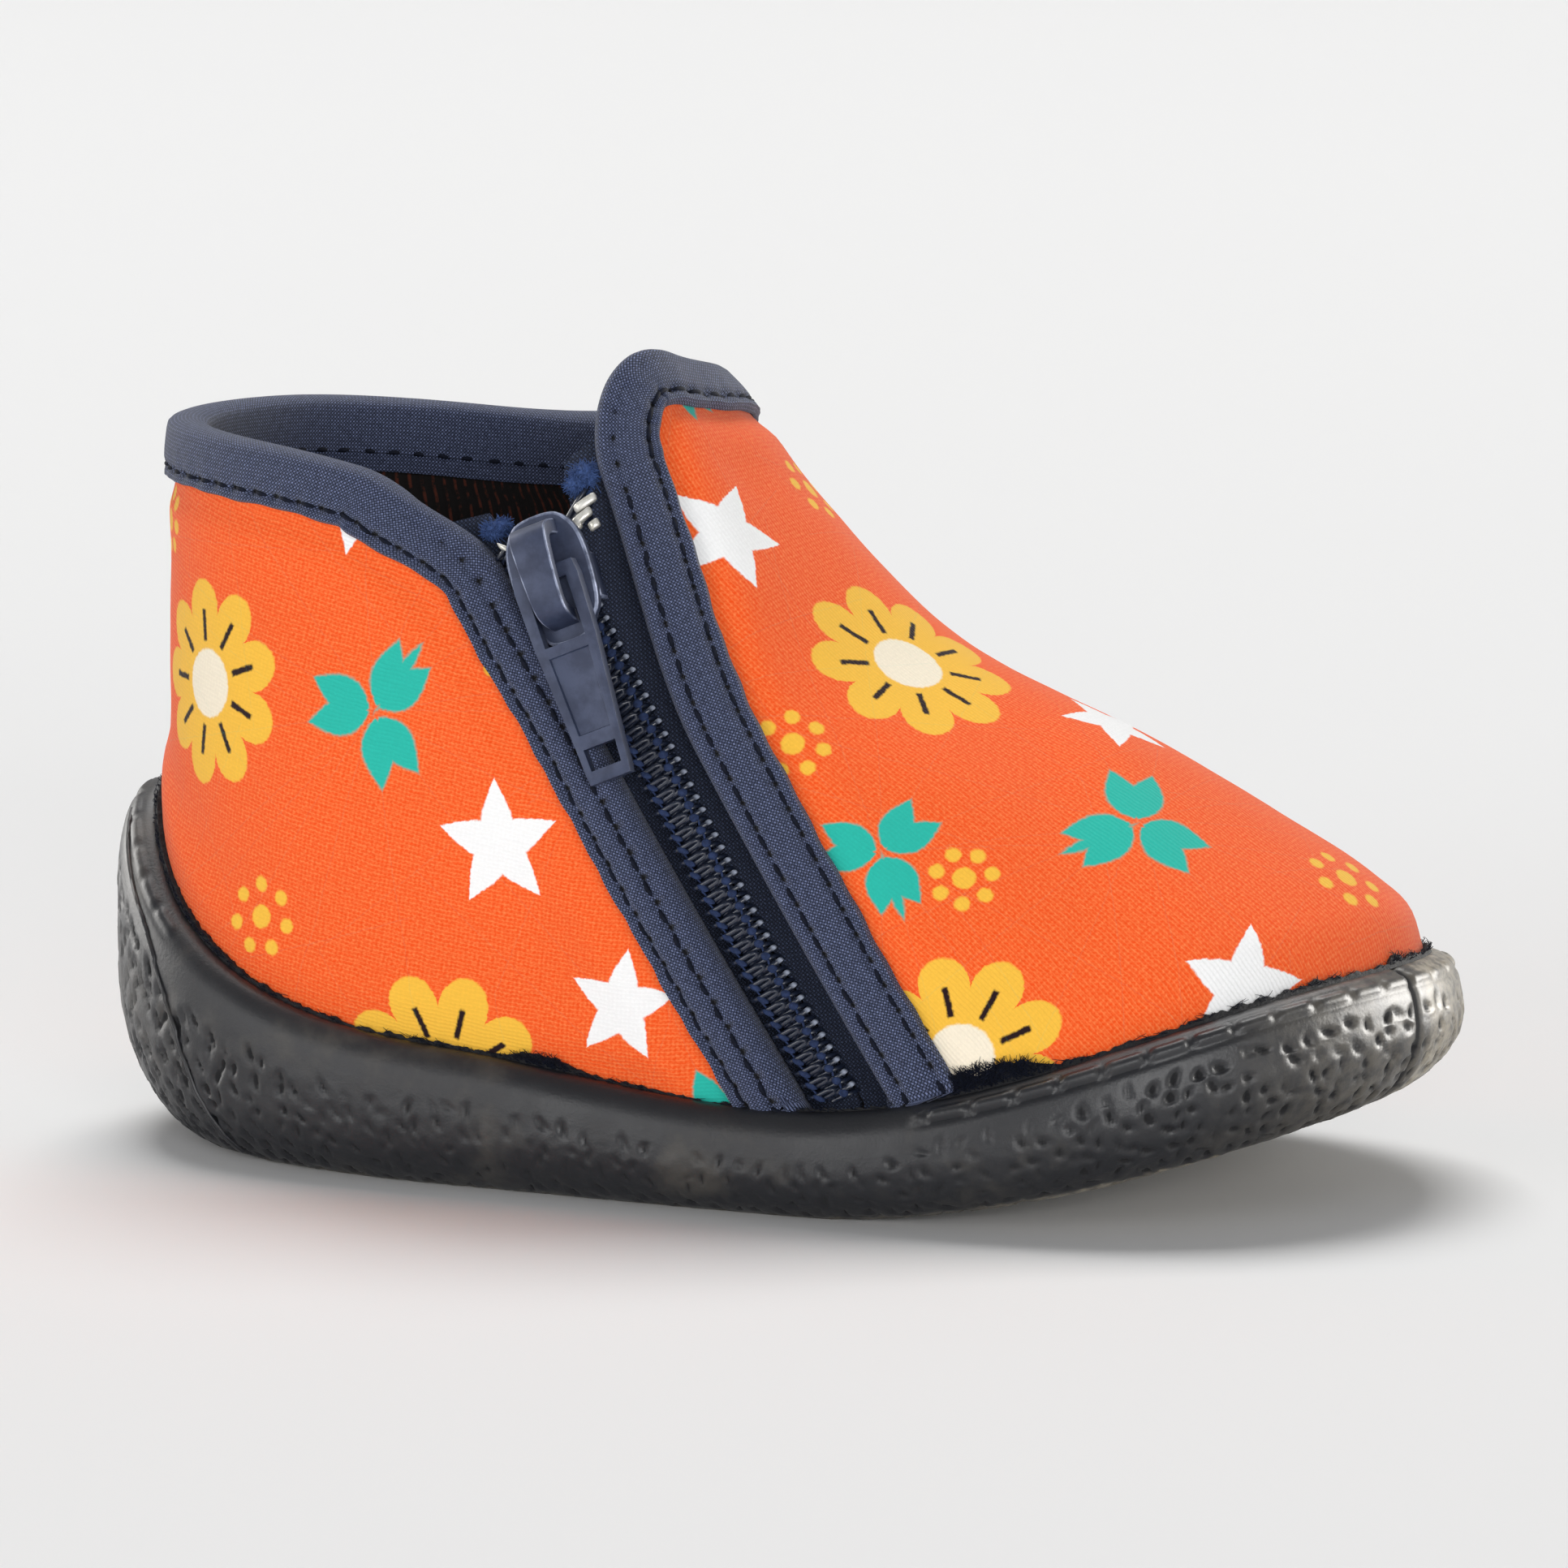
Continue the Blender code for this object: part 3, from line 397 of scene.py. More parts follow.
# The bridge over the plate: its outer and inner faces and half its width
BridgeRow = namedtuple("BridgeRow", "outer_along outer_out inner_along inner_out half_width")
SLIDER_BRIDGE = (
    BridgeRow(5.8, 1.5, 4.3, 1.5, 1.9),
    BridgeRow(5.3, 4.7, 4.1, 4.0, 1.85),
    BridgeRow(3.9, 5.7, 3.2, 4.6, 1.8),
    BridgeRow(-2.1, 5.7, -1.6, 4.6, 1.5),
    BridgeRow(-3.7, 4.7, -2.8, 3.9, 1.45),
    BridgeRow(-4.3, 1.5, -3.0, 1.5, 1.4),
)

# The print's repeat, charted in mm, and the ink of each part of a motif
REPEAT = (64.0, 58.0, 100.0)
Motif = namedtuple("Motif", "kind x y turn size")
PRINT = (
    Motif("blossom", 13.0, 14.0, 10.0, 9.6),
    Motif("blossom", 45.0, 43.0, 40.0, 10.0),
    Motif("trefoil", 33.0, 17.0, 25.0, 9.0),
    Motif("trefoil", 8.0, 41.0, 200.0, 8.6),
    Motif("trefoil", 58.0, 23.0, 120.0, 7.6),
    Motif("star", 26.0, 36.0, 12.0, 5.8),
    Motif("star", 48.0, 8.0, 40.0, 6.2),
    Motif("star", 62.0, 53.0, -15.0, 5.4),
    Motif("dots", 24.0, 53.0, 0.0, 3.0),
    Motif("dots", 45.0, 26.0, 20.0, 2.7),
    Motif("dots", 1.0, 26.0, 50.0, 2.5),
)
MOTIF_INKS = {
    "blossom": {"Petals": "yellow", "Middle": "cream", "Strokes": "brown ink"},
    "trefoil": {"Mask": "teal"},
    "star": {"Mask": "white ink"},
    "dots": {"Mask": "yellow"},
}
BLOSSOM_PETALS = 9
RING_DOTS = 7
DOT_RADIUS = 0.7
SOFT_EDGE = 0.16

# Camera and photograph
PHOTO_PIXELS = 1932
PIXELS_PER_MM = 13.25
CAMERA_AZIMUTH = 18.0
CAMERA_ELEVATION = 10.0
CAMERA_DISTANCE = 0.9
CAMERA_FOCUS = Vector((0.0, 0.0, 0.035))
FOCUS_PIXEL = (955, 970)
SENSOR_WIDTH = 36.0
CLIP_START = 0.01

# Floor and light, in metres and watts; the cards show only in gloss
FLOOR_MOTTLE = (0.83, 0.83, 0.835, 1.0)
FLOOR_WIDTH = 12.0
FLOOR_LENGTH = 9.0
FLOOR_FRONT = 3.0
SWEEP_START = 2.2
SWEEP_RADIUS = 1.5
WORLD_COLOR = (0.98, 0.99, 1.0, 1.0)
WORLD_STRENGTH = 0.18
Light = namedtuple("Light", "name place aim size power color gloss_only")
LIGHTS = (
    Light("overhead", (-0.5, 1.2, 3.0), (0.0, 0.1, 0.0), (2.0, 1.6), 80.0, (1.0, 0.995, 0.985), False),
    Light("front_right", (1.5, -2.9, 0.7), (0.0, 0.0, 0.04), (2.0, 1.2), 52.0, (1.0, 1.0, 1.0), False),
    Light("front_left", (-1.7, -2.6, 0.7), (0.0, 0.0, 0.04), (2.0, 1.2), 28.0, (1.0, 1.0, 1.0), False),
    Light("toe_card", (1.5, 0.75, 0.45), (0.05, 0.0, 0.02), (1.4, 1.2), 110.0, (1.0, 0.98, 0.94), True),
    Light("heel_card", (-1.6, 0.35, 0.45), (-0.05, 0.0, 0.02), (1.2, 1.2), 40.0, (1.0, 0.98, 0.95), True),
)

PALETTE = {
    "orange": "FF5519",
    "orange lit": "FF8A4E",
    "yellow": "FFC648",
    "cream": "FFF3DC",
    "white ink": "FFFFFF",
    "teal": "2FBFAE",
    "brown ink": "2A1A1E",
    "navy": "181E30",
    "navy lit": "7580A6",
    "thread": "0A0B11",
    "zip tape": "141A2C",
    "tape lit": "46526F",
    "zip thread": "34446C",
    "fray lit": "5875B4",
    "coil": "232A3A",
    # Painted highlight on the wire's outer bends
    "bend": "AEB6C8",
    "paint": "2F374F",
    "paint lit": "3C455F",
    # Pale paint of the rounded edges: wear and painted edge highlight
    "paint edge wear and highlight": "8D96B0",
    "rubber": "1F2024",
    # Pale dust, also painted on as the highlight of side light at the toe and heel
    "rubber dust and painted light": "A79E8D",
    # Painted shade in the sole's pits and toe groove
    "painted pit shade": "151518",
    "lining": "120D0D",
    "lining rib": "5A2A1C",
    "metal": "C6C1AD",
    "floor": "ECECEC",
}


def screen_color(name):
    """Linear colour of a named screen colour."""
    code = PALETTE[name]
    parts = [int(code[i:i + 2], 16) / 255 for i in (0, 2, 4)]
    linear = [part / 12.92 if part <= 0.04045 else ((part + 0.055) / 1.055) ** 2.4 for part in parts]
    return (*linear, 1.0)


class Spline:
    """Cubic spline through the rows of a table, closed round a loop or open with free ends."""

    def __init__(self, knots, rows, closed):
        self.knots = np.asarray(knots, float)
        rows = np.asarray(rows, float)
        self.rows = np.vstack([rows, rows[:1]]) if closed else rows
        self.closed = closed
        self.bends = self.solve()

    def solve(self):
        count = len(self.knots)
        gaps = np.diff(self.knots)
        slopes = np.diff(self.rows, axis=0) / gaps[:, None]
        matrix = np.eye(count)
        sides = np.zeros_like(self.rows)
        for i in range(1, count - 1):
            matrix[i, i - 1:i + 2] = gaps[i - 1], 2 * (gaps[i - 1] + gaps[i]), gaps[i]
            sides[i] = 6 * (slopes[i] - slopes[i - 1])
        if self.closed:
            matrix[0, :2] = 2 * (gaps[-1] + gaps[0]), gaps[0]
            matrix[0, -2] += gaps[-1]
            sides[0] = 6 * (slopes[0] - slopes[-1])
            matrix[-1, 0] = -1
        return np.linalg.solve(matrix, sides)

    def at(self, place):
        place = np.asarray(place, float)
        if self.closed:
            place = np.mod(place, self.knots[-1])
        index = np.clip(np.searchsorted(self.knots, place, side="right") - 1, 0, len(self.knots) - 2)
        gap = (self.knots[index + 1] - self.knots[index])[..., None]
        ahead = (place - self.knots[index])[..., None] / gap
        behind = 1 - ahead
        curve = (behind ** 3 - behind) * self.bends[index] + (ahead ** 3 - ahead) * self.bends[index + 1]
        return behind * self.rows[index] + ahead * self.rows[index + 1] + curve * gap ** 2 / 6


def running_length(points):
    """Distance along a line of points, starting at nought."""
    steps = np.linalg.norm(np.diff(points, axis=0), axis=1)
    return np.concatenate([[0.0], np.cumsum(steps)])


def smooth_step(value):
    share = np.clip(value, 0.0, 1.0)
    return share * share * (3 - 2 * share)


def rib_loop():
    """Spline of the rib table round the rim, measured in mm along the rim's chords."""
    rows = np.array([rib[1:] for rib in RIBS], float)
    corners = np.vstack([rows[:, :2], rows[:1, :2]])
    return Spline(running_length(corners), rows, closed=True)


def crest_line():
    """Share of the way back and up that the vamp's centre line has made, by share of its length."""
    points = np.array(VAMP_CREST, float)
    length = running_length(points)
    shares = (points - points[0]) / (points[-1] - points[0])
    return Spline(length / length[-1], shares, closed=False)


RIB_LOOP = rib_loop()
CREST_LINE = crest_line()
ROUND = RIB_LOOP.knots[-1]
ZIP_PLACE = RIB_LOOP.knots[ZIP_RIB]
TOE_PLACE = RIB_LOOP.knots[TOE_RIB]


def rib_place(number):
    """Place round the rim of a rib's number, with parts of a number between two ribs."""
    count = len(RIBS)
    turns = np.floor_divide(number, count)
    return turns * ROUND + np.interp(np.mod(number, count), np.arange(count + 1), RIB_LOOP.knots)


def spring(x):
    """Height of the sole's bottom edge: level from heel to ball, then the toe spring."""
    return TOE_SPRING * (np.clip(x - SPRING_START, 0, None) / (SPRING_END - SPRING_START)) ** SPRING_POWER


def ground(x):
    """Height of the sole's underside inside its edge, with the arch."""
    reach = np.clip(np.abs(x - ARCH_MIDDLE) / ARCH_HALF_LENGTH, 0, 1)
    return spring(x) + ARCH_RISE * (1 - smooth_step(reach))


def foot_bed(x):
    """Height of the floor of the sole's cup."""
    return BED_THICKNESS + spring(x)


def outward(place):
    """Level direction out of the shoe at a place round the rim."""
    step = 0.05
    along = RIB_LOOP.at(place + step)[..., :2] - RIB_LOOP.at(place - step)[..., :2]
    along /= np.linalg.norm(along, axis=-1, keepdims=True)
    return np.stack([along[..., 1], -along[..., 0]], axis=-1)


def wall(place, climb):
    """Outer face of the upper: climb is -1 at the bottom edge, 0 at the rim and 1 at the collar."""
    place, climb = np.broadcast_arrays(np.asarray(place, float), np.asarray(climb, float))
    rib = Rib("spline", *np.moveaxis(RIB_LOOP.at(place), -1, 0))
    up = np.clip(climb, 0, None)
    down = np.clip(-climb, 0, None)
    crest = CREST_LINE.at(np.clip(up, 0, 1))
    over = np.clip(up - 1, 0, None)
    share_x = up + rib.crest * (crest[..., 0] + over - up)
    share_z = up + rib.crest * (crest[..., 1] + over - up)
    share_y = up ** FULLNESS
    middle = np.sin(math.pi * np.clip(up, 0, 1))
    x = rib.rim_x + (rib.collar_x - rib.rim_x) * share_x
    y = rib.rim_y + (rib.collar_y - rib.rim_y) * share_y + rib.swell * middle
    z = rib.rim_z + (rib.collar_z - rib.rim_z) * share_z - rib.sag * middle
    z = z - down * (rib.rim_z - foot_bed(rib.rim_x) - CLEARANCE)
    inset = outward(place) * (TUCK * down ** 4)[..., None]
    return np.stack([x - inset[..., 0], y - inset[..., 1], z], axis=-1)


def wall_frame(place, climb):
    """Steps of the wall along place and climb, and its unit normal pointing out."""
    step = 0.2
    rise = 0.004
    along = (wall(place + step, climb) - wall(place - step, climb)) / (2 * step)
    up = (wall(place, climb + rise) - wall(place, climb - rise)) / (2 * rise)
    normal = np.cross(along, up)
    normal /= np.linalg.norm(normal, axis=-1, keepdims=True)
    return along, up, normal


def offset(place, climb, distance):
    """Point at a distance out of the upper's outer face."""
    normal = wall_frame(place, climb)[2]
    return wall(place, climb) + normal * np.asarray(distance, float)[..., None]


def across_zip(climb, distance):
    """Place round the rim that lies at a distance in front of the zip's line."""
    climb = np.asarray(climb, float)
    along, up, _ = wall_frame(np.full_like(climb, ZIP_PLACE), climb)
    up = up / np.linalg.norm(up, axis=-1, keepdims=True)
    square = along - up * np.sum(along * up, axis=-1, keepdims=True)
    return ZIP_PLACE + distance / np.linalg.norm(square, axis=-1)


def slot_edge(climb, near, spread):
    """Distance of an edge of the zip slot from the zip's line, wider near the collar."""
    return near + spread * smooth_step((climb - SPREAD_START) / (1 - SPREAD_START))


def corner_drop(distance, radius):
    """How far a rounded corner lies below the collar's line at a distance from the slot's edge."""
    inside = np.clip(radius - distance, 0, radius)
    return radius - np.sqrt(radius ** 2 - inside ** 2)


HEEL_SHARE = CLOTH_FRONT_COLUMNS / (CLOTH_FRONT_COLUMNS + CLOTH_REAR_COLUMNS)


def cloth_place(share, climb):
    """Place round the rim by share of the cloth, from the slot's front edge by the heel to its rear edge."""
    front = across_zip(climb, slot_edge(climb, SLOT_FRONT, FRONT_SPREAD))
    rear = across_zip(climb, -slot_edge(climb, SLOT_REAR, REAR_SPREAD)) + ROUND
    to_heel = front + (ROUND - front) * share / HEEL_SHARE
    past_heel = ROUND + (rear - ROUND) * (share - HEEL_SHARE) / (1 - HEEL_SHARE)
    return np.where(share < HEEL_SHARE, to_heel, past_heel)


def collar_table():
    """Shares close together round the collar and the climb of the cloth's edge at each."""
    turn = 1 - np.cos(np.linspace(0, math.pi / 2, 200))
    ends = 0.08 * turn
    shares = np.concatenate([ends, np.linspace(0.08, 0.92, 1200)[1:-1], 1 - ends[::-1]])
    one = np.ones_like(shares)
    places = cloth_place(shares, one)
    length = running_length(wall(places, one))
    drop = corner_drop(length, FRONT_CORNER) + corner_drop(length[-1] - length, REAR_CORNER)
    rise = np.linalg.norm(wall_frame(places, one)[1], axis=-1)
    return shares, 1 - drop / rise


COLLAR_SHARES, COLLAR_CLIMBS = collar_table()


def zip_lengths():
    """Climb and length along the zip's line, for stepping along it in mm."""
    climbs = np.linspace(-0.3, 1.0, 400)
    return climbs, running_length(wall(np.full_like(climbs, ZIP_PLACE), climbs))


ZIP_CLIMBS, ZIP_RUN = zip_lengths()


def zip_run(climb):
    """Length along the zip's line at a climb."""
    return float(np.interp(climb, ZIP_CLIMBS, ZIP_RUN))


SLIDER_RUN = zip_run(SLIDER_CLIMB)
TOP_RUN = zip_run(ROW_TOP)
COIL_START = zip_run(COIL_LOW) + COIL_MARGIN


def zip_point(across, run, height):
    """Point near the zip by its distance across, the length along the zip and the height off the wall."""
    climb = np.interp(run, ZIP_RUN, ZIP_CLIMBS)
    return offset(across_zip(climb, across), climb, height)


def tape_parting(run):
    """Half the gap between the two tapes: closed below the slider, spread above it."""
    above = run - SLIDER_RUN + SPREAD_BELOW_SLIDER
    return TAPE_PARTING + TAPE_SPREAD * smooth_step(above / SPREAD_LENGTH)


# Ways of making meshes


def start_grid(name, columns, rows):
    """New grid piece whose points run from 0 to 1 both ways until it is shaped."""
    bpy.ops.object.select_all(action="DESELECT")
    bpy.ops.mesh.primitive_grid_add(
        x_subdivisions=columns, y_subdivisions=rows, size=1, location=(0.5, 0.5, 0)
    )
    bpy.ops.object.transform_apply(location=True, rotation=False, scale=False)
    piece = bpy.context.object
    piece.name = name
    piece.data.name = name
    return piece


def read_points(piece):
    points = np.empty(len(piece.data.vertices) * 3, np.float32)
    piece.data.vertices.foreach_get("co", points)
    return points.reshape(-1, 3).astype(float)


def write_points(piece, points):
    """Gives a piece its points, from millimetres in the tables' own numbers."""
    placed = (np.asarray(points) - ORIGIN) * MM
    piece.data.vertices.foreach_set("co", placed.astype(np.float32).ravel())
    piece.data.update()


def use_only(piece):
    bpy.ops.object.select_all(action="DESELECT")
    piece.select_set(True)
    bpy.context.view_layer.objects.active = piece


def edit_all(piece, operator, **settings):
    """Runs an edit-mode operator on the whole of a piece."""
    use_only(piece)
    bpy.ops.object.mode_set(mode="EDIT")
    bpy.ops.mesh.select_all(action="SELECT")
    operator(**settings)
    bpy.ops.object.mode_set(mode="OBJECT")


def weld(piece):
    """Joins points that fall together."""
    edit_all(piece, bpy.ops.mesh.remove_doubles, threshold=WELD_DISTANCE * MM)


def closed_grid(name, rows):
    """Piece through rows of points that close on themselves, with the row and column of each point."""
    count, around = rows.shape[:2]
    piece = start_grid(name, around, count - 1)
    share = read_points(piece)
    row = count - 1 - np.rint(share[:, 1] * (count - 1)).astype(int)
    column = np.rint(share[:, 0] * around).astype(int)
    write_points(piece, rows[row, column % around])
    return piece, row, column


def face_outwards(piece):
    """Turns the faces of closed shapes outwards, also of mirrored ones."""
    edit_all(piece, bpy.ops.mesh.normals_make_consistent, inside=False)


def close_tube(piece):
    """Joins a tube's seam, fills its open ends and turns its faces out."""
    weld(piece)
    edit_all(piece, bpy.ops.mesh.fill_holes, sides=0)
    face_outwards(piece)


def apply_modifier(piece, kind, **settings):
    use_only(piece)
    made = piece.modifiers.new(kind.lower(), kind)
    for name, value in settings.items():
        setattr(made, name, value)
    bpy.ops.object.modifier_apply(modifier=made.name)


def shade_round(piece, angle):
    use_only(piece)
    bpy.ops.object.shade_smooth_by_angle(angle=math.radians(angle))


def copy_of(node, name):
    """Piece with its own merged copy of a node's mesh."""
    piece = bpy.data.objects.new(name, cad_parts[node].data.copy())
    piece.data.name = name
    piece.data.materials.clear()
    bpy.context.scene.collection.objects.link(piece)
    weld(piece)
    return piece


def write_map(piece, name, values):
    """Gives a piece's flat map a pair of values for each corner of its faces."""
    piece.data.uv_layers[name].data.foreach_set("uv", np.asarray(values, np.float32).ravel())


def write_value(piece, name, values):
    """Gives a piece a number for each of its points, for its material to read."""
    attribute = piece.data.attributes.new(name, "FLOAT", "POINT")
    attribute.data.foreach_set("value", np.asarray(values, np.float32))


def joined(name, points, faces):
    """One piece from many copies: points is an array of copies, faces are those of one copy."""
    copies, count = points.shape[:2]
    mesh = bpy.data.meshes.new(name)
    all_faces = [[corner + copy * count for corner in face] for copy in range(copies) for face in faces]
    mesh.from_pydata(((points.reshape(-1, 3) - ORIGIN) * MM).tolist(), [], all_faces)
    piece = bpy.data.objects.new(name, mesh)
    bpy.context.scene.collection.objects.link(piece)
    shade_round(piece, 60.0)
    return piece


def corner_points(piece):
    """Number of the point at each corner of a piece's faces."""
    corners = np.empty(len(piece.data.loops), np.int32)
    piece.data.loops.foreach_get("vertex_index", corners)
    return corners


def read_map(piece, name):
    """A piece's flat map, a pair of values for each corner of its faces."""
    flat = np.empty(len(piece.data.loops) * 2, np.float32)
    piece.data.uv_layers[name].data.foreach_get("uv", flat)
    return flat.reshape(-1, 2).astype(float)


def bead(segments, rings):
    """Points and faces of a round bead one unit across, modelled once for copying."""
    bpy.ops.object.select_all(action="DESELECT")
    bpy.ops.mesh.primitive_uv_sphere_add(segments=segments, ring_count=rings, radius=0.5)
    made = bpy.context.object
    points = read_points(made)
    faces = [list(face.vertices) for face in made.data.polygons]
    bpy.data.objects.remove(made, do_unlink=True)
    return points, faces


def tube_faces(sides, rows):
    """Faces of a tube with closed ends, its rings numbered one after another."""
    faces = []
    for row in range(rows - 1):
        for side in range(sides):
            beside = (side + 1) % sides
            low, high = row * sides, (row + 1) * sides
            faces.append([low + side, low + beside, high + beside, high + side])
    faces.append(list(range(sides))[::-1])
    faces.append([(rows - 1) * sides + side for side in range(sides)])
    return faces


def tube_rings(path, radius, sides):
    """Points in rings round a path, with a radius for each of its points."""
    run = np.gradient(path, axis=0)
    run /= np.linalg.norm(run, axis=1, keepdims=True)
    first = np.cross(run, np.array([0.0, 1.0, 0.0]))
    first /= np.linalg.norm(first, axis=1, keepdims=True)
    second = np.cross(run, first)
    turn = np.linspace(0, FULL_TURN, sides, endpoint=False)[None, :, None]
    rings = first[:, None, :] * np.cos(turn) + second[:, None, :] * np.sin(turn)
    return (path[:, None, :] + rings * np.asarray(radius)[:, None, None]).reshape(-1, 3)


def finish_piece(piece, body, slot, *materials):
    """Gives a piece its materials and the body it rides on; its slot is not used."""
    for made in materials:
        piece.data.materials.append(made)
    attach(piece, body)


def soft_noise(points, size, seed):
    """Smooth noise from -1 to 1 at points in millimetres, with lumps of a given size."""
    shift = Vector((seed * 17.3, seed * 5.1, seed * 9.7))
    return np.array([noise.noise(Vector(point) / size + shift) for point in points])


def lump_relief(points, lumps):
    """Height of soft lumps of some sizes at points, in mm."""
    return sum(lump.height * soft_noise(points, lump.size, lump.seed) for lump in lumps)


# Sole


def sole_places():
    """Places of the sole's columns: as many on the outer as on the inner side."""
    half = SOLE_COLUMNS // 2
    outer = np.linspace(0, TOE_PLACE, half, endpoint=False)
    inner = np.linspace(TOE_PLACE, ROUND, half, endpoint=False)
    return np.concatenate([outer, inner])


def rib_number(place):
    """Number of the rib at a place round the rim, with parts of a number between two ribs."""
    return np.interp(np.mod(place, ROUND), RIB_LOOP.knots, np.arange(len(RIBS) + 1))


def sole_rows(place):
    """Rows of the sole's section at each place: the cup's wall, then the outer side from lip to tread."""
    rib = Rib("spline", *np.moveaxis(RIB_LOOP.at(place), -1, 0))
    out = outward(place)

    def side(distance, height):
        return np.stack([rib.rim_x + out[:, 0] * distance, rib.rim_y + out[:, 1] * distance, height], axis=-1)

    def stepped(distance, drop):
        soft = smooth_step((drop - SOFT_STEP_START) / SOFT_STEP_LENGTH)
        return side(distance + STEP_OUT * soft, rib.rim_z - drop)

    cup = [offset(place, np.full_like(place, climb), CLEARANCE) for climb in CUP_CLIMBS]
    cup[0][:, 2] = foot_bed(rib.rim_x)
    bulge = rib.flare - STEP_OUT
    band = np.array(SOLE_BAND, float)
    along_band = running_length(band * np.array([1.0, bulge.mean()]))
    curve = Spline(along_band / along_band[-1], band, closed=False)
    rows = []
    for drop, reach in curve.at(np.linspace(0, 1, BAND_ROWS)):
        rows.append(stepped(CLEARANCE + (bulge - CLEARANCE) * reach, drop))
    tread = rib.rim_x + out[:, 0] * (rib.flare - rib.under)
    low = spring(tread)
    edge = np.minimum(rib.edge, rib.rim_z - BAND_DEPTH - EDGE_MARGIN - low)
    side_drop = rib.rim_z - BAND_DEPTH - low - edge
    for share in np.linspace(0, 1, SIDE_ROWS + 1)[1:-1]:
        rows.append(stepped(bulge, BAND_DEPTH + side_drop * share ** 1.5))
    for turn in np.linspace(0, math.pi / 2, EDGE_ROWS + 1):
        height = low + edge * (1 - np.sin(turn))
        rows.append(stepped(bulge - rib.under * (1 - np.cos(turn)), rib.rim_z - height))
    return np.array(cup), np.array(rows)


def middle_of_box(points):
    """Point on the floor under the middle of the box round some points."""
    low, high = points.min(axis=0), points.max(axis=0)
    return np.array([(low[0] + high[0]) / 2, (low[1] + high[1]) / 2, low[2]])


SOLE_PLACES = sole_places()
SOLE_CUP, SOLE_SIDE = sole_rows(SOLE_PLACES)
ORIGIN = middle_of_box(SOLE_SIDE.reshape(-1, 3))
STEP_ROW = BAND_ROWS
SOLE_RIBS = rib_number(SOLE_PLACES)


def rim_zone(zone):
    """Strength of a zone at each of the sole's columns, also where it runs on past the heel's back."""
    strength = np.zeros(SOLE_COLUMNS)
    for number in (SOLE_RIBS, SOLE_RIBS + len(RIBS)):
        start = smooth_step((number - zone.start) / zone.soft_start)
        strength += start * smooth_step((zone.end - number) / zone.soft_end)
    return zone.strength * strength


def grid_normals(points):
    """Unit normals of a closed grid of rows and columns, pointing out of the shoe."""
    wrapped = np.concatenate([points[:, -1:], points, points[:, :1]], axis=1)
    along = (wrapped[:, 2:] - wrapped[:, :-2]) / 2
    down = np.gradient(points, axis=0)
    normals = np.cross(down, along)
    return normals / np.maximum(np.linalg.norm(normals, axis=-1, keepdims=True), 1e-9)


def nearest_turn(places, place):
    """Signed distance round the rim from a place, the short way."""
    return np.mod(places - place + ROUND / 2, ROUND) - ROUND / 2


def pit_relief(points, below):
    """Irregular moulded pits over the sole's lower side: how far each point sinks, in mm."""
    rng = np.random.default_rng(SEED)
    rows, columns = points.shape[:2]
    relief = np.zeros((rows, columns))
    travel = running_length(points[STEP_ROW])
    step = travel[-1] / (columns - 1)
    lowest = below[-1] - TREAD_RIM_ABOVE
    first = below[STEP_ROW] + np.interp(SOLE_RIBS, *np.array(PIT_STARTS).T)
    to_ends = smooth_step((np.abs(points[STEP_ROW, :, 0]) - BOLD_PITS_START) / BOLD_PITS_LENGTH)
    boldness = FAINT_PITS + (1 - FAINT_PITS) * to_ends
    beside = np.arange(-PIT_WINDOW, PIT_WINDOW + 1)
    x = beside * step
    for row in range(int(np.ceil((lowest - first).max() / PIT_ROW_PITCH))):
        for start in np.arange((row % 2) * PIT_PITCH / 2, travel[-1], PIT_PITCH):
            column = int(np.searchsorted(travel, start + rng.uniform(-0.6, 0.6))) % columns
            level = first[column] + row * PIT_ROW_PITCH + rng.uniform(-0.5, 0.5)
            length = rng.uniform(*PIT_HALF_LENGTHS)
            width = rng.uniform(*PIT_HALF_WIDTHS)
            angle = rng.normal(PIT_LEAN, 0.5)
            depth = rng.uniform(*PIT_DEPTHS) * boldness[column]
            if rng.random() < PIT_SKIP or level > lowest[column]:
                continue
            near = np.flatnonzero(np.abs(below[:, column] - level) < PIT_REACH)
            spot = np.ix_(near, (column + beside) % columns)
            y = below[spot] - level
            long = (x * math.cos(angle) + y * math.sin(angle)) / length
            short = (y * math.cos(angle) - x * math.sin(angle)) / width + 0.4 * long * long
            reach = long ** 2 + short ** 2
            dip = PIT_RIM * depth * np.exp(-reach / 2.8) - depth * np.exp(-reach ** 1.4)
            relief[spot] = np.where(np.abs(dip) > np.abs(relief[spot]), dip, relief[spot])
    return relief


def dash_relief(below):
    """Row of moulded false stitches along the band, at the forefoot and at the heel, in mm."""
    travel = running_length(SOLE_SIDE[STEP_ROW])
    fainter_at_toe = 1 - 0.5 * np.exp(-((SOLE_RIBS - TOE_RIB) / 1.2) ** 2)
    strength = rim_zone(FORE_DASHES) * fainter_at_toe + rim_zone(HEEL_DASHES)
    phase = np.mod(travel, DASH_PITCH) - DASH_PITCH / 2
    lengthways = smooth_step((DASH_LENGTH / 2 - np.abs(phase)) / 0.7 + 0.5)
    half = DASH_HEIGHT / 2
    crosswise = np.sqrt(np.clip(1 - ((below - DASH_DROP) / half) ** 2, 0, 1))
    under = np.exp(-((below - DASH_DROP - half - 0.15) / 0.3) ** 2)
    return strength * (DASH_RAISE * lengthways * crosswise - 0.12 * under)


def groove_relief(below):
    """Mould groove across the toe, in mm."""
    toe = nearest_turn(SOLE_PLACES[None, :], TOE_PLACE - TOE_GROOVE_BACK)
    return -TOE_GROOVE_DEPTH * np.exp(-(toe / TOE_GROOVE_WIDTH) ** 2) * smooth_step(below / 1.5)


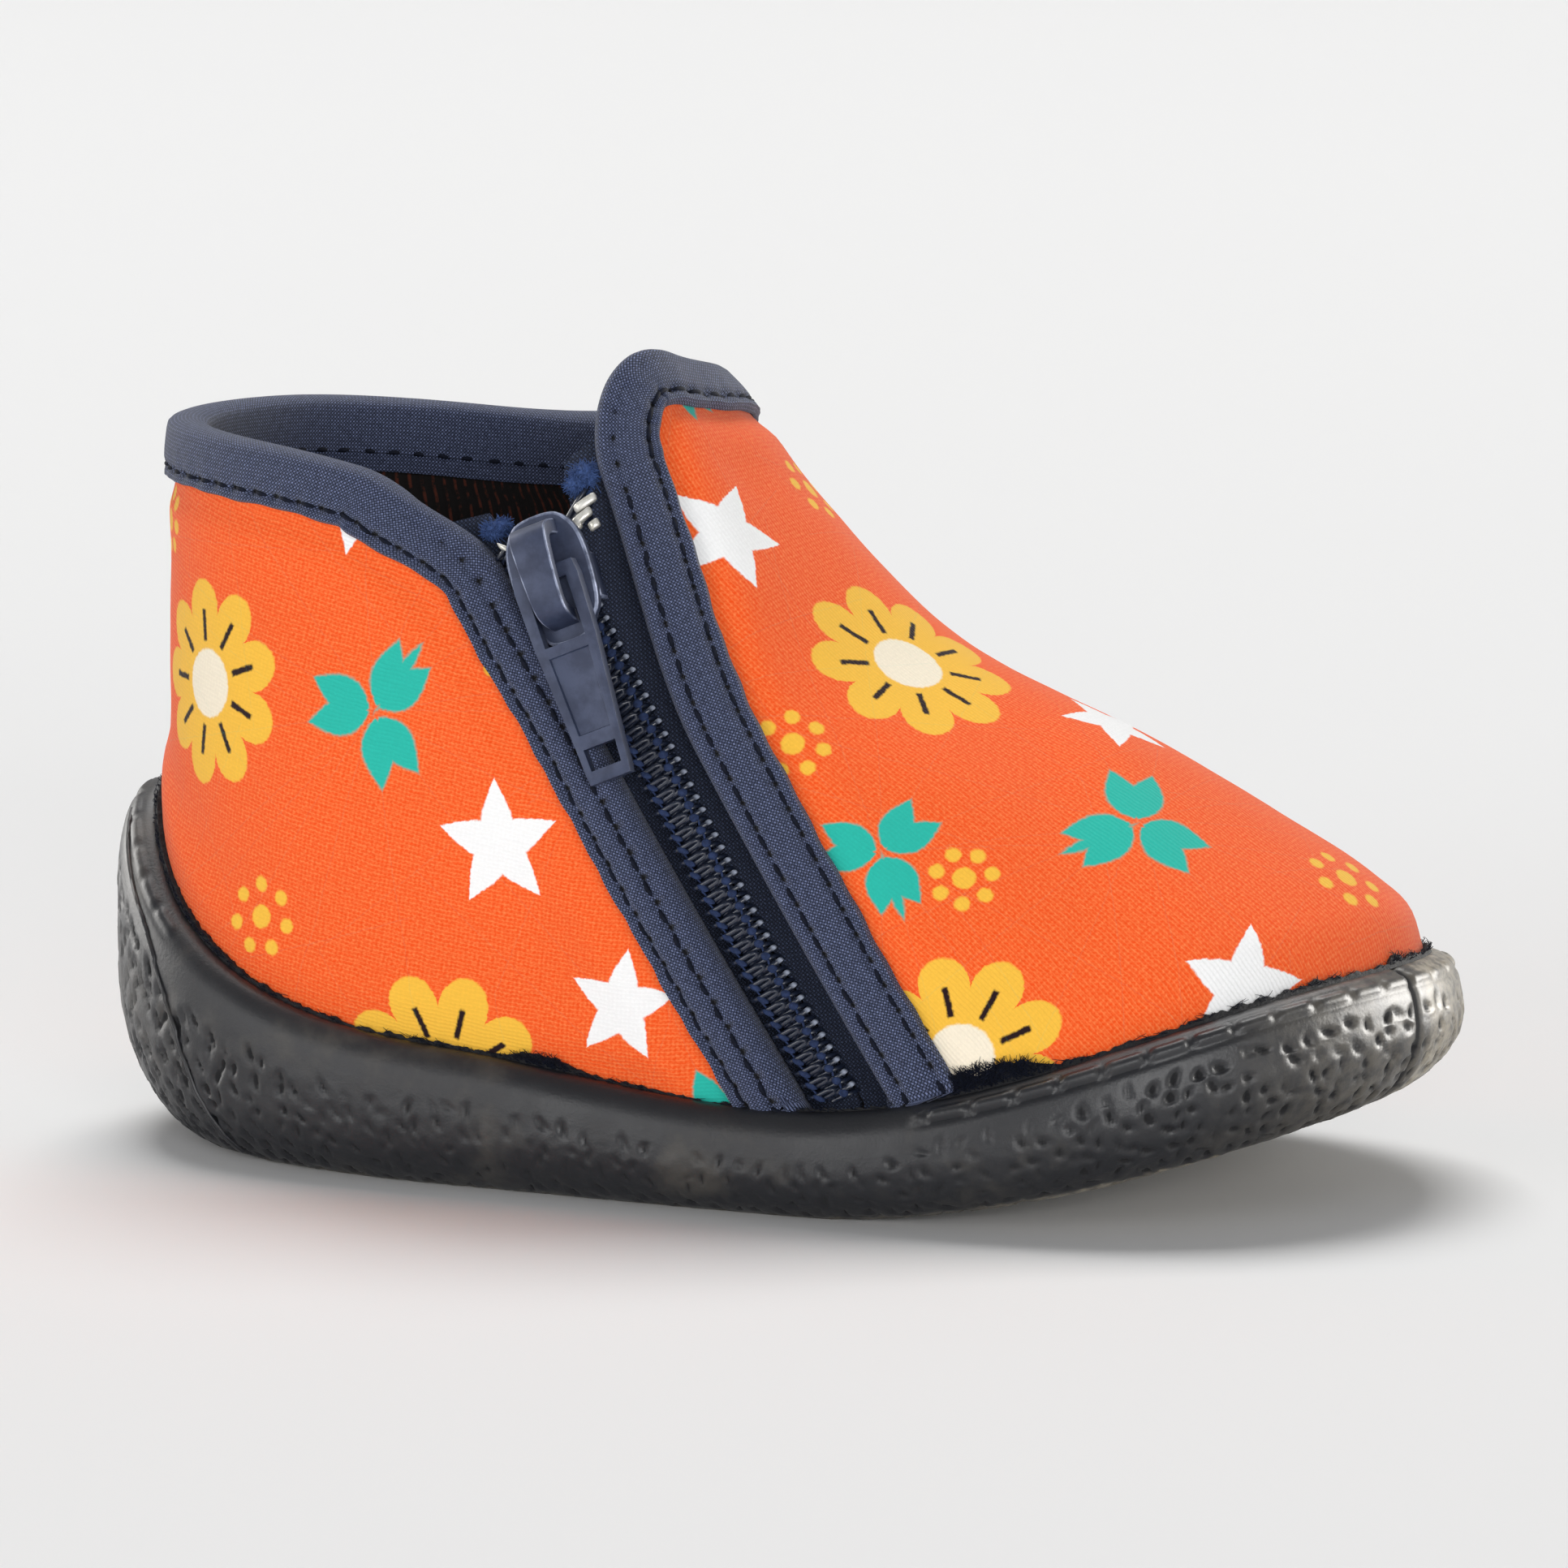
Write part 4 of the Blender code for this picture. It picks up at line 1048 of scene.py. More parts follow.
def dust_and_light_share(below):
    """How pale the rubber is: dust along the tread's edge, and painted side light with some dust beyond the
    groove at the toe and low on the heel.
    """
    low = below / below[-1]
    fore = rim_zone(FORE_DUST)
    edge = smooth_step((low - 0.88 + 0.05 * fore) / 0.06) * (0.3 + 0.6 * fore)
    heel = rim_zone(HEEL_DUST_AND_LIGHT) * smooth_step((low - 0.2) / 0.5)
    return np.clip(edge + rim_zone(TOE_DUST_AND_LIGHT) + rim_zone(NEAR_TOE_DUST_AND_LIGHT) + heel, 0, 1)


def make_heel_ridges(rubber, below):
    """Thin mould line down each side of the heel, lying on the rubber."""
    ridge = np.array(HEEL_RIDGE, float)
    fine = np.linspace(0, len(ridge) - 1, RIDGE_POINTS)
    curve = Spline(np.arange(len(ridge)), ridge, closed=False).at(fine)
    copies = []
    for side in (1, -1):
        path = []
        for place, depth in curve:
            column = np.argmin(np.abs(nearest_turn(SOLE_PLACES, side * place)))
            path.append([np.interp(depth, below[:, column], SOLE_SIDE[:, column, axis]) for axis in range(3)])
        copies.append(tube_rings(np.array(path), np.full(RIDGE_POINTS, RIDGE_RADIUS), RIDGE_SIDES))
    piece = joined("heel_mould_lines", np.array(copies), tube_faces(RIDGE_SIDES, RIDGE_POINTS))
    finish_piece(piece, "shoe", "sole", rubber)


def row_to_middle(edge, height, count):
    """Rows from an edge round the sole in to its middle line, at a height for each place along it."""
    middle = (edge + np.roll(edge[::-1], 1, axis=0)) / 2
    rows = [edge + (middle - edge) * share for share in np.linspace(0, 1, count + 1)[1:]]
    for row in rows:
        row[:, 2] = height(row[:, 0])
    return rows


def make_sole(rubber):
    """Cup sole as one welded grid: bed, cup wall, lip, band, step, pitted side and tread."""
    steps = np.linalg.norm(np.diff(SOLE_SIDE, axis=0), axis=-1)
    below = np.concatenate([np.zeros((1, SOLE_COLUMNS)), np.cumsum(steps, axis=0)])
    pits = pit_relief(SOLE_SIDE, below)
    groove = groove_relief(below)
    rim = TREAD_RIM * np.exp(-((below[-1] - below - TREAD_RIM_ABOVE) / TREAD_RIM_WIDTH) ** 2)
    places = SOLE_SIDE.reshape(-1, 3)
    lumps = lump_relief(places, SOLE_LUMPS).reshape(below.shape)
    lumps *= smooth_step((below - below[STEP_ROW]) / 2.0)
    relief = pits + lumps + dash_relief(below) + groove + rim
    relief *= smooth_step((below[-1] - below) / 0.5)
    side = SOLE_SIDE + grid_normals(SOLE_SIDE) * relief[..., None]
    bed = row_to_middle(SOLE_CUP[0], foot_bed, BED_ROWS)[::-1]
    tread = row_to_middle(SOLE_SIDE[-1], ground, TREAD_ROWS)
    piece, row, column = closed_grid("rubber_sole", np.concatenate([bed, SOLE_CUP, side, tread]))
    column %= SOLE_COLUMNS
    padding = ((len(bed) + len(SOLE_CUP), len(tread)), (0, 0))
    # Depth of the pits and the toe groove, which the rubber shows as painted shade
    write_value(piece, "pit", np.pad(np.minimum(pits, groove), padding)[row, column])
    # Dust along the tread's edge and painted side light at the toe and heel
    write_value(piece, "dust_and_painted_light", np.pad(dust_and_light_share(below), padding, mode="edge")[row, column])
    weld(piece)
    shade_round(piece, 50.0)
    finish_piece(piece, "shoe", "sole", rubber)
    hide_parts("sole")
    make_heel_ridges(rubber, below)


# Upper


def edge_path():
    """Share and climb of points evenly along the cloth's edge, from the slot's rear round the collar."""
    count = 400
    rise = np.linspace(0, 1, count)
    rear = BINDING_LOW + rise * (COLLAR_CLIMBS[-1] - BINDING_LOW)
    front = BINDING_LOW + rise[::-1] * (COLLAR_CLIMBS[0] - BINDING_LOW)
    share = np.concatenate([np.ones(count), COLLAR_SHARES[::-1][1:-1], np.zeros(count)])
    climb = np.concatenate([rear, COLLAR_CLIMBS[::-1][1:-1], front])
    length = running_length(wall(cloth_place(share, climb), climb))
    even = np.linspace(0, length[-1], int(length[-1] / BINDING_STEP) + 1)
    corners = (length[count - 1], length[-count])
    return np.interp(even, length, share), np.interp(even, length, climb), even, corners


EDGE_SHARE, EDGE_CLIMB, EDGE_RUN, EDGE_CORNERS = edge_path()
EDGE_PLACE = cloth_place(EDGE_SHARE, EDGE_CLIMB)
EDGE_POINTS = wall(EDGE_PLACE, EDGE_CLIMB)


def distance_to_edge(points):
    """Distance of each point from the cloth's bound edge."""
    nearest = np.full(len(points), 1e9)
    for start in range(0, len(EDGE_POINTS), 40):
        block = EDGE_POINTS[start:start + 40]
        gaps = np.linalg.norm(points[:, None, :] - block[None, :, :], axis=-1)
        nearest = np.minimum(nearest, gaps.min(axis=1))
    return nearest


def crease_relief(points):
    """Soft troughs and ridges of the table, in mm out of the wall."""
    relief = np.zeros(len(points))
    for crease in CREASES:
        steps = np.linspace(0, 1, 24)
        place = rib_place(crease.rib + (crease.to_rib - crease.rib) * steps)
        climb = crease.climb + (crease.to_climb - crease.climb) * steps
        line = wall(place, climb)
        gaps = np.linalg.norm(points[:, None, :] - line[None, :, :], axis=-1).min(axis=1)
        relief += crease.depth * np.exp(-(gaps / crease.width) ** 2)
    return relief


def swell_relief(distance, swell):
    """Height of a soft swell at distances from what it runs beside, in mm."""
    return swell.height * np.exp(-((distance - swell.middle) / swell.width) ** 2)


def cloth_points(share, level):
    """Points of the cloth's outer face by share round it and level up it, with its swell and creases."""
    edge = np.interp(share, COLLAR_SHARES, COLLAR_CLIMBS)
    tucked = CLOTH_TUCKED_ROWS / CLOTH_ROWS
    climb = np.where(level < tucked, level / tucked - 1, (level - tucked) / (1 - tucked) * edge)
    place = cloth_place(share, climb)
    points = wall(place, climb)
    _, up, normal = wall_frame(place, climb)
    above_rim = np.clip(climb, 0, None) * np.linalg.norm(up, axis=-1)
    bound = distance_to_edge(points)
    swell = swell_relief(bound, EDGE_SWELL) + swell_relief(above_rim, RIM_SWELL)
    swell *= (climb > 0) * smooth_step((bound - BOUND_WIDTH) / 3.0)
    open_cloth = smooth_step(above_rim / 6.0) * smooth_step((bound - BOUND_WIDTH) / 6.0)
    lumps = lump_relief(points, CLOTH_LUMPS)
    relief = (crease_relief(points) + lumps) * open_cloth + swell
    return points, points + normal * relief[:, None]


def face_area(corners):
    """Area of four-sided faces together, in space or in a flat map."""
    first, second = corners[:, 2] - corners[:, 0], corners[:, 3] - corners[:, 1]
    squares = (first ** 2).sum(axis=1) * (second ** 2).sum(axis=1) - (first * second).sum(axis=1) ** 2
    return np.sqrt(np.maximum(squares, 0)).sum() / 2


def fit_cloth_map(piece, strip):
    """Turns the unwrapped map into mm, with courses level behind and along the instep in front."""
    flat = read_map(piece, "cloth")
    corners = corner_points(piece)
    faces = corners.reshape(-1, 4)
    quads = np.arange(len(corners)).reshape(-1, 4)
    solid = read_points(piece) / MM
    middle = strip[faces][:, :, 0].mean(axis=1)
    toe_share = (TOE_PLACE - ZIP_PLACE) / (ROUND - ZIP_PLACE) * HEEL_SHARE
    islands = (
        (middle < HEEL_SHARE, (toe_share, 0.45), (toe_share, 0.80), math.pi, (0.0, 0.0)),
        (middle > HEEL_SHARE, (0.88, 0.5), (0.97, 0.5), 0.0, (31.0, 9.0)),
    )
    for chosen, first, second, heading, shift in islands:
        inside = quads[chosen].ravel()
        scale = math.sqrt(face_area(solid[faces[chosen]]) / face_area(flat[quads[chosen]]))
        places = strip[corners[inside]]
        nearest = [np.argmin(np.linalg.norm(places - spot, axis=1)) for spot in (first, second)]
        start, end = flat[inside[nearest]]
        turn = heading - math.atan2(end[1] - start[1], end[0] - start[0])
        cosine, sine = math.cos(turn), math.sin(turn)
        moved = (flat[inside] - start) * scale
        flat[inside] = moved @ np.array([[cosine, sine], [-sine, cosine]]) + shift
    write_map(piece, "cloth", flat)


def make_upper(knit, lining):
    """Knit wall with its lining: a grid unwrapped as cloth, made finer, shaped and given its thickness."""
    columns = CLOTH_FRONT_COLUMNS + CLOTH_REAR_COLUMNS
    piece = start_grid("knit_upper", columns, CLOTH_ROWS)
    piece.data.uv_layers[0].name = "strip"
    strip = read_points(piece)[:, :2]
    write_points(piece, cloth_points(strip[:, 0], strip[:, 1])[0])
    for edge in piece.data.edges:
        ends = strip[list(edge.vertices), 0]
        edge.use_seam = bool(np.all(np.abs(ends - HEEL_SHARE) < 0.2 / columns))
    piece.data.uv_layers.active = piece.data.uv_layers.new(name="cloth")
    edit_all(piece, bpy.ops.uv.unwrap, method="MINIMUM_STRETCH", margin=0.01)
    fit_cloth_map(piece, strip)
    levels = CLOTH_SUBDIVISIONS
    apply_modifier(
        piece, "SUBSURF", subdivision_type="SIMPLE", levels=levels, render_levels=levels, uv_smooth="NONE"
    )
    fine = np.empty((len(piece.data.vertices), 2))
    fine[corner_points(piece)] = read_map(piece, "strip")
    write_points(piece, cloth_points(fine[:, 0], fine[:, 1])[1])
    piece.data.materials.append(knit)
    piece.data.materials.append(lining)
    apply_modifier(
        piece, "SOLIDIFY", thickness=WALL_THICKNESS * MM, offset=-1, material_offset=1, material_offset_rim=1
    )
    bpy.ops.object.shade_smooth()
    finish_piece(piece, "shoe", "upper")
    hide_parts("upper")


# Binding


def collar_blend():
    """Nought along the zip, one round the collar."""
    from_rear = EDGE_RUN - EDGE_CORNERS[0]
    from_front = EDGE_CORNERS[1] - EDGE_RUN
    return smooth_step(np.minimum(from_rear, from_front) / BINDING_BLEND)


def zip_side(rear, front):
    """One value along the slot's rear edge and another along its front edge."""
    return np.where(EDGE_RUN < EDGE_RUN[-1] / 2, rear, front)


COLLAR_BLEND = collar_blend()
OUTER_LEG = zip_side(BINDING_REAR_WIDTH, BINDING_FRONT_WIDTH)
OUTER_LEG = OUTER_LEG + COLLAR_BLEND * (BINDING_COLLAR_WIDTH - OUTER_LEG)
INNER_LEG = BINDING_ZIP_INNER + COLLAR_BLEND * (BINDING_COLLAR_INNER - BINDING_ZIP_INNER)
EDGE_STITCH = OUTER_LEG - STITCH_EDGE_ZIP - COLLAR_BLEND * (STITCH_EDGE_COLLAR - STITCH_EDGE_ZIP)
FOLD_STITCH = zip_side(STITCH_FOLD_REAR, STITCH_FOLD_FRONT)
FOLD_REACH = zip_side(BINDING_REAR_FOLD, BINDING_FRONT_FOLD)
FOLD_REACH = FOLD_REACH + COLLAR_BLEND * (BINDING_FRONT_FOLD - FOLD_REACH)


def edge_frames():
    """Steps along the wall at the cloth's edge and the direction from the edge into the cloth."""
    along, up, normal = wall_frame(EDGE_PLACE, EDGE_CLIMB)
    run = np.gradient(EDGE_POINTS, axis=0)
    inward = np.cross(normal, run)
    inward /= np.linalg.norm(inward, axis=1, keepdims=True)
    steps = np.stack([along, up], axis=2)
    shifts = np.array([np.linalg.lstsq(step, way, rcond=None)[0] for step, way in zip(steps, inward)])
    order = np.arange(len(EDGE_RUN))
    square = np.clip(np.minimum(order, order[::-1]) * BINDING_STEP / 6.0, 0, 1)
    return shifts, square


EDGE_SHIFTS, EDGE_SQUARE = edge_frames()


def binding_point(index, distance, height):
    """Point near the bound edge: distance into the cloth from the edge and height off its outer face."""
    place = EDGE_PLACE[index] + EDGE_SHIFTS[index, 0] * distance
    climb = EDGE_CLIMB[index] + EDGE_SHIFTS[index, 1] * distance * EDGE_SQUARE[index]
    return offset(place, climb, height)


def stitch_groove(index, distance, line, start):
    """How sunk the tape is beside a row of stitches: a shallow groove with a hole between two stitches, and
    the painted shade in that hole.
    """
    groove = np.exp(-((distance - line) / GROOVE_WIDTH) ** 2)
    phase = np.mod(EDGE_RUN[index] - start, STITCH_PITCH) - STITCH_PITCH / 2
    hole = np.exp(-(phase / NEEDLE_HOLE_LENGTH) ** 2)
    # The needle hole's painted shade
    dark = np.exp(-((distance - line) / NEEDLE_HOLE_WIDTH) ** 2) * hole
    return groove * (GROOVE_DEPTH + NEEDLE_HOLE_DEPTH * hole), dark


def binding_section(index):
    """Distances, heights and the painted shade of the needle hole round the folded tape at points along it, a
    row of each a point.
    """
    nought = np.zeros(len(index))
    outer = OUTER_LEG[index] + 0.12 * np.sin(EDGE_RUN[index] * 0.9) * np.cos(EDGE_RUN[index] * 0.37)
    inner = INNER_LEG[index]
    collar = COLLAR_BLEND[index]
    reach = FOLD_REACH[index]
    face = 0.12
    skin = BINDING_SKIN
    back = -WALL_THICKNESS - 0.25
    back_skin = -WALL_THICKNESS - 1.0
    selvage = inner + BINDING_SELVAGE * collar
    pucker = 0.05 * np.cos(2 * math.pi * (EDGE_RUN[index] - STITCH_START) / STITCH_PITCH)
    rows = [(outer, face, nought), (outer + 0.05, 0.4, nought), (outer - 0.12, skin - 0.3, nought)]
    for share in np.linspace(0.95, 0.0, 24):
        distance = outer * share
        edge_sunk, edge_hole_shade = stitch_groove(index, distance, EDGE_STITCH[index], STITCH_START)
        fold_sunk, fold_hole_shade = stitch_groove(index, distance, FOLD_STITCH[index], STITCH_START)
        puff = 0.14 * np.sin(math.pi * share) + pucker * share
        height = skin + puff - edge_sunk - (1 - collar) * fold_sunk
        rows.append((distance, height, edge_hole_shade + (1 - collar) * fold_hole_shade))
    for turn in np.linspace(0.1, 0.9, 9):
        bend = math.pi * turn
        height = -WALL_THICKNESS / 2 + (skin + WALL_THICKNESS / 2) * math.cos(bend)
        rows.append((-reach * math.sin(bend) ** 0.7, height, nought))
    for share in np.linspace(0.0, 1.0, 5):
        rows.append((inner * share, back_skin, nought))
    rows.append((inner + 0.08, back - 0.35, nought))
    rows.append((selvage, back - 0.3, nought))
    rows.append((selvage, back, nought))
    rows.append((nought - 0.1, back, nought))
    rows.append((nought - 0.1, face, nought))
    return (np.stack([row[i] + nought for row in rows], axis=1) for i in range(3))


def evened(lengths):
    """Lengths round the tape's sections, evened out along it so that the weave runs straight."""
    half = round(STITCH_PITCH / BINDING_STEP)
    padded = np.pad(lengths, ((half, half), (0, 0)), mode="edge")
    return np.mean([padded[i:i + len(lengths)] for i in range(2 * half + 1)], axis=0)


def make_binding(bias):
    """Folded bias tape swept along the cloth's edge, sunk along its stitches."""
    index = np.arange(len(EDGE_RUN))
    distances, heights, hole_shades = binding_section(index)
    columns = range(distances.shape[1])
    sections = np.stack([binding_point(index, distances[:, i], heights[:, i]) for i in columns], axis=1)
    piece, row, column = closed_grid("bias_binding", sections)
    # The hole value is the needle hole's painted shade
    write_value(piece, "hole", hole_shades[row, column % len(columns)])
    around = np.concatenate([sections, sections[:, :1]], axis=1)
    lengths = evened(np.array([running_length(section) for section in around]))
    piece.data.uv_layers[0].name = "tape"
    write_map(piece, "tape", np.stack([EDGE_RUN[row], lengths[row, column]], axis=1)[corner_points(piece)])
    close_tube(piece)
    shade_round(piece, 50.0)
    finish_piece(piece, "shoe", "edge_binding", bias)
    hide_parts("edge_binding")


def stitch_frames(runs, line):
    """Place, run, side and out of stitches at some lengths along the binding, on a line of distances."""
    index = np.clip(np.rint(runs / BINDING_STEP).astype(int), 1, len(EDGE_RUN) - 2)
    distance = line[index]
    place = EDGE_PLACE[index] + EDGE_SHIFTS[index, 0] * distance
    climb = EDGE_CLIMB[index] + EDGE_SHIFTS[index, 1] * distance * EDGE_SQUARE[index]
    normal = wall_frame(place, climb)[2]
    ahead = binding_point(index + 1, line[index + 1], np.zeros(len(index)))
    behind = binding_point(index - 1, line[index - 1], np.zeros(len(index)))
    run = ahead - behind
    run /= np.linalg.norm(run, axis=1, keepdims=True)
    side = np.cross(normal, run)
    return wall(place, climb), run, side, normal


def make_topstitches(thread):
    """Rows of thread: near the tape's edge, near its fold along the zip, and inside the collar."""
    points, faces = bead(8, 8)
    rng = np.random.default_rng(SEED)
    copies = []
    end = EDGE_RUN[-1]
    middles = np.arange(STITCH_START, end - 1.0, STITCH_PITCH)
    along_rear = middles[middles < EDGE_CORNERS[0] - 1.0]
    along_front = middles[middles > EDGE_CORNERS[1] + 3.0]
    along_collar = middles[(middles > EDGE_CORNERS[0] + 12.0) & (middles < EDGE_CORNERS[1] - 12.0)]
    lines = (
        (middles, EDGE_STITCH, STITCH_LEVEL, 1.0),
        (along_rear, FOLD_STITCH, STITCH_LEVEL, 1.0),
        (along_front, FOLD_STITCH, STITCH_LEVEL, 1.0),
        (along_collar, INNER_LEG - 0.1, -WALL_THICKNESS - 0.85, -1.0),
    )
    for runs, line, level, facing in lines:
        middle, run, side, normal = stitch_frames(runs, line)
        tilt = rng.normal(0.0, 0.08, len(runs))[:, None]
        length = STITCH_LENGTH * rng.uniform(0.92, 1.06, len(runs))[:, None, None]
        run, side = run + side * tilt, side - run * tilt
        bow = (0.25 - points[:, 0] ** 2) * 1.4 - 0.25
        lift = level + facing * (points[:, 2] * STITCH_THICKNESS + bow)
        copies.append(
            middle[:, None, :]
            + run[:, None, :] * points[None, :, :1] * length
            + side[:, None, :] * points[None, :, 1:2] * STITCH_THICKNESS
            + normal[:, None, :] * lift[None, :, None]
        )
    piece = joined("topstitches", np.concatenate(copies), faces)
    face_outwards(piece)
    finish_piece(piece, "shoe", "edge_binding", thread)


# Zip


def coil_shift(runs):
    """How far the closed coil lies behind the zip's line, away from the slider."""
    return COIL_SHIFT * smooth_step((SLIDER_RUN - COIL_SHIFT_START - runs) / COIL_SHIFT_LENGTH)


def coil_copies(runs, side, shift):
    """Points of wire turns at some lengths along the zip; side is 1 in front of the zip's line."""
    table = np.array(COIL_TURN)
    path = table[:, :3] * np.array([1.0, COIL_PITCH, 1.0])
    path[:, 1] += side * COIL_SLANT * path[:, 0]
    if side > 0:
        path[:, 2] -= COIL_DIP * smooth_step(1.2 - path[:, 0])
    across, along, height = tube_rings(path, table[:, 3] * WIRE_RADIUS, WIRE_SIDES).T
    return zip_point(side * across + shift[:, None], runs[:, None] + along, height)


def closed_turns(side):
    """Lengths along the zip of the closed coil's turns on one side, between those on the other side."""
    first = COIL_START if side > 0 else COIL_START + COIL_PITCH / 2
    return np.arange(first, SLIDER_RUN - SLIDER_COVER, COIL_PITCH)





def make_coil(nylon):
    """Closed chain of two meshed rows of wire turns, and the two open rows above the slider."""
    faces = tube_faces(WIRE_SIDES, len(COIL_TURN))
    # Points of the outer bend that get the painted highlight
    bright = np.array([wire.across > BEND_ACROSS and wire.height > BEND_HEIGHT for wire in COIL_TURN], float)
    opened = np.arange(SLIDER_RUN + SLIDER_REACH, TOP_RUN - ROW_SHORT, COIL_PITCH)
    for name, side, painted_highlight in (("front", 1, 1.0), ("rear", -1, REAR_PAINTED_HIGHLIGHT)):
        closed = closed_turns(side)
        facing = faces if side > 0 else [face[::-1] for face in faces]
        chain = joined(f"coil_{name}", coil_copies(closed, side, coil_shift(closed)), facing)
        write_value(chain, "bend", painted_highlight * np.tile(np.repeat(bright, WIRE_SIDES), len(closed)))
        finish_piece(chain, "shoe", "zip_coil", nylon)
        if side > 0:
            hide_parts("zip_chain")
        parted = side * (tape_parting(opened) + ROW_OUT)
        row = joined(f"coil_open_{name}", coil_copies(opened, side, parted), facing)
        finish_piece(row, "shoe", "zip_coil", nylon)
        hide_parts(f"zip_row_{name}")


def make_zip_thread(thread):
    """Sewing thread of the coil: a knot over each turn's legs and a strand from knot to knot."""
    rng = np.random.default_rng(SEED)
    for name, segments, rings in (("knots", 8, 6), ("strands", 6, 8)):
        points, faces = bead(segments, rings)
        x, y, z = points.T
        if name == "knots":
            across = KNOT_ACROSS + x * 0.95
            along = y * 0.85 + x * 0.25
            height = 0.06 + z * 0.4 - 0.5 * x ** 2
        else:
            across = KNOT_ACROSS + x * 0.24 + y * 0.3
            along = COIL_PITCH / 2 + y * 1.25
            height = -0.12 + z * 0.24 - 0.35 * (0.25 - y ** 2)
        copies = []
        for side in (1, -1):
            runs = closed_turns(side)
            shift = coil_shift(runs) + rng.normal(0, 0.05, len(runs))
            run = runs[:, None] + along + side * COIL_SLANT * KNOT_ACROSS
            copies.append(zip_point(side * across + shift[:, None], run, height))
        piece = joined(f"coil_{name}", np.concatenate(copies), faces)
        face_outwards(piece)
        finish_piece(piece, "shoe", "zip_tape", thread)


def slider_point(local):
    """Point by its place across, along and out of the slider."""
    climb = np.array(SLIDER_CLIMB)
    _, up, normal = wall_frame(np.array(ZIP_PLACE), climb)
    along = Vector(up - normal * np.dot(up, normal)).normalized()
    out = Vector(normal).normalized()
    along.rotate(Matrix.Rotation(-math.radians(SLIDER_TURN), 3, out))
    out.rotate(Matrix.Rotation(-math.radians(SLIDER_ROLL), 3, along))
    across = along.cross(out)
    shifted = local + np.array([SLIDER_SHIFT, 0.0, 0.0])
    return wall(np.array(ZIP_PLACE), climb) + shifted @ np.array([across, along, out])


def round_edges(piece, edge, paint, edge_wear_and_highlight):
    """Paints a piece and rounds its edges, which are painted paler for worn paint and for their highlight."""
    piece.data.materials.append(paint)
    piece.data.materials.append(edge_wear_and_highlight)
    limit = math.radians(40.0)
    apply_modifier(
        piece, "BEVEL", width=edge * MM, segments=3, material=1, limit_method="ANGLE", angle_limit=limit
    )


def lofted(name, sections):
    """Closed solid through rings of points in the slider's own axes."""
    piece = closed_grid(name, slider_point(sections))[0]
    close_tube(piece)
    return piece


def cut_corners(line, closed):
    """Line with its corners cut off twice, which rounds it inside its own outline."""
    for _ in range(2):
        before, after = (line, np.roll(line, -1, axis=0)) if closed else (line[:-1], line[1:])
        cut = np.stack([0.75 * before + 0.25 * after, 0.25 * before + 0.75 * after], axis=1)
        cut = cut.reshape(-1, *line.shape[1:])
        line = cut if closed else np.concatenate([line[:1], cut, line[-1:]])
    return line


def plate_sections(rows, levels):
    """Lower and upper outline of a plate."""
    right = [(row.half_width, row.along) for row in rows]
    left = [(-row.half_width, row.along) for row in reversed(rows)]
    outline = cut_corners(np.array(right + left), closed=True)
    return np.array([[(x, y, level) for x, y in outline] for level in levels])


def bridge_sections():
    """Sections along the arched bridge."""
    sections = []
    for row in SLIDER_BRIDGE:
        inner, outer = (row.inner_along, row.inner_out), (row.outer_along, row.outer_out)
        half = row.half_width
        sections.append([(-half, *inner), (half, *inner), (half, *outer), (-half, *outer)])
    return cut_corners(np.array(sections), closed=False)


def block_sections(block):
    """Bottom and top of an upright block."""
    low, high = block.across - block.half_width, block.across + block.half_width
    corners = ((low, block.start), (high, block.start), (high, block.end), (low, block.end))
    return np.array([[(x, y, height) for x, y in corners] for height in (block.low, block.high)])


def make_slider(paint, edge_wear_and_highlight):
    """Painted slider: plates, neck, flanges and the arched bridge, in one piece."""
    pieces = [
        lofted("slider", plate_sections(OUTER_PLATE, OUTER_LEVELS)),
        lofted("slider_inner", plate_sections(INNER_PLATE, INNER_LEVELS)),
        lofted("slider_bridge", bridge_sections()),
    ]
    pieces += [lofted("slider_block", block_sections(block)) for block in SLIDER_BLOCKS]
    for piece in pieces:
        round_edges(piece, SLIDER_EDGE, paint, edge_wear_and_highlight)
    use_only(pieces[0])
    for piece in pieces[1:]:
        piece.select_set(True)
    bpy.ops.object.join()
    shade_round(pieces[0], 30.0)
    finish_piece(pieces[0], "shoe", "zip_metal")
    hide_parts("zip_slider")


def make_pull_tab(paint, edge_wear_and_highlight):
    """Painted pull tab: the solid's own shape with its edges rounded."""
    piece = copy_of("zip_pull_tab", "pull_tab")
    edit_all(piece, bpy.ops.mesh.dissolve_limited, angle_limit=math.radians(1.0))
    round_edges(piece, TAB_EDGE, paint, edge_wear_and_highlight)
    shade_round(piece, 30.0)
    finish_piece(piece, "pull_tab", "zip_metal")
    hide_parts("zip_pull_tab")


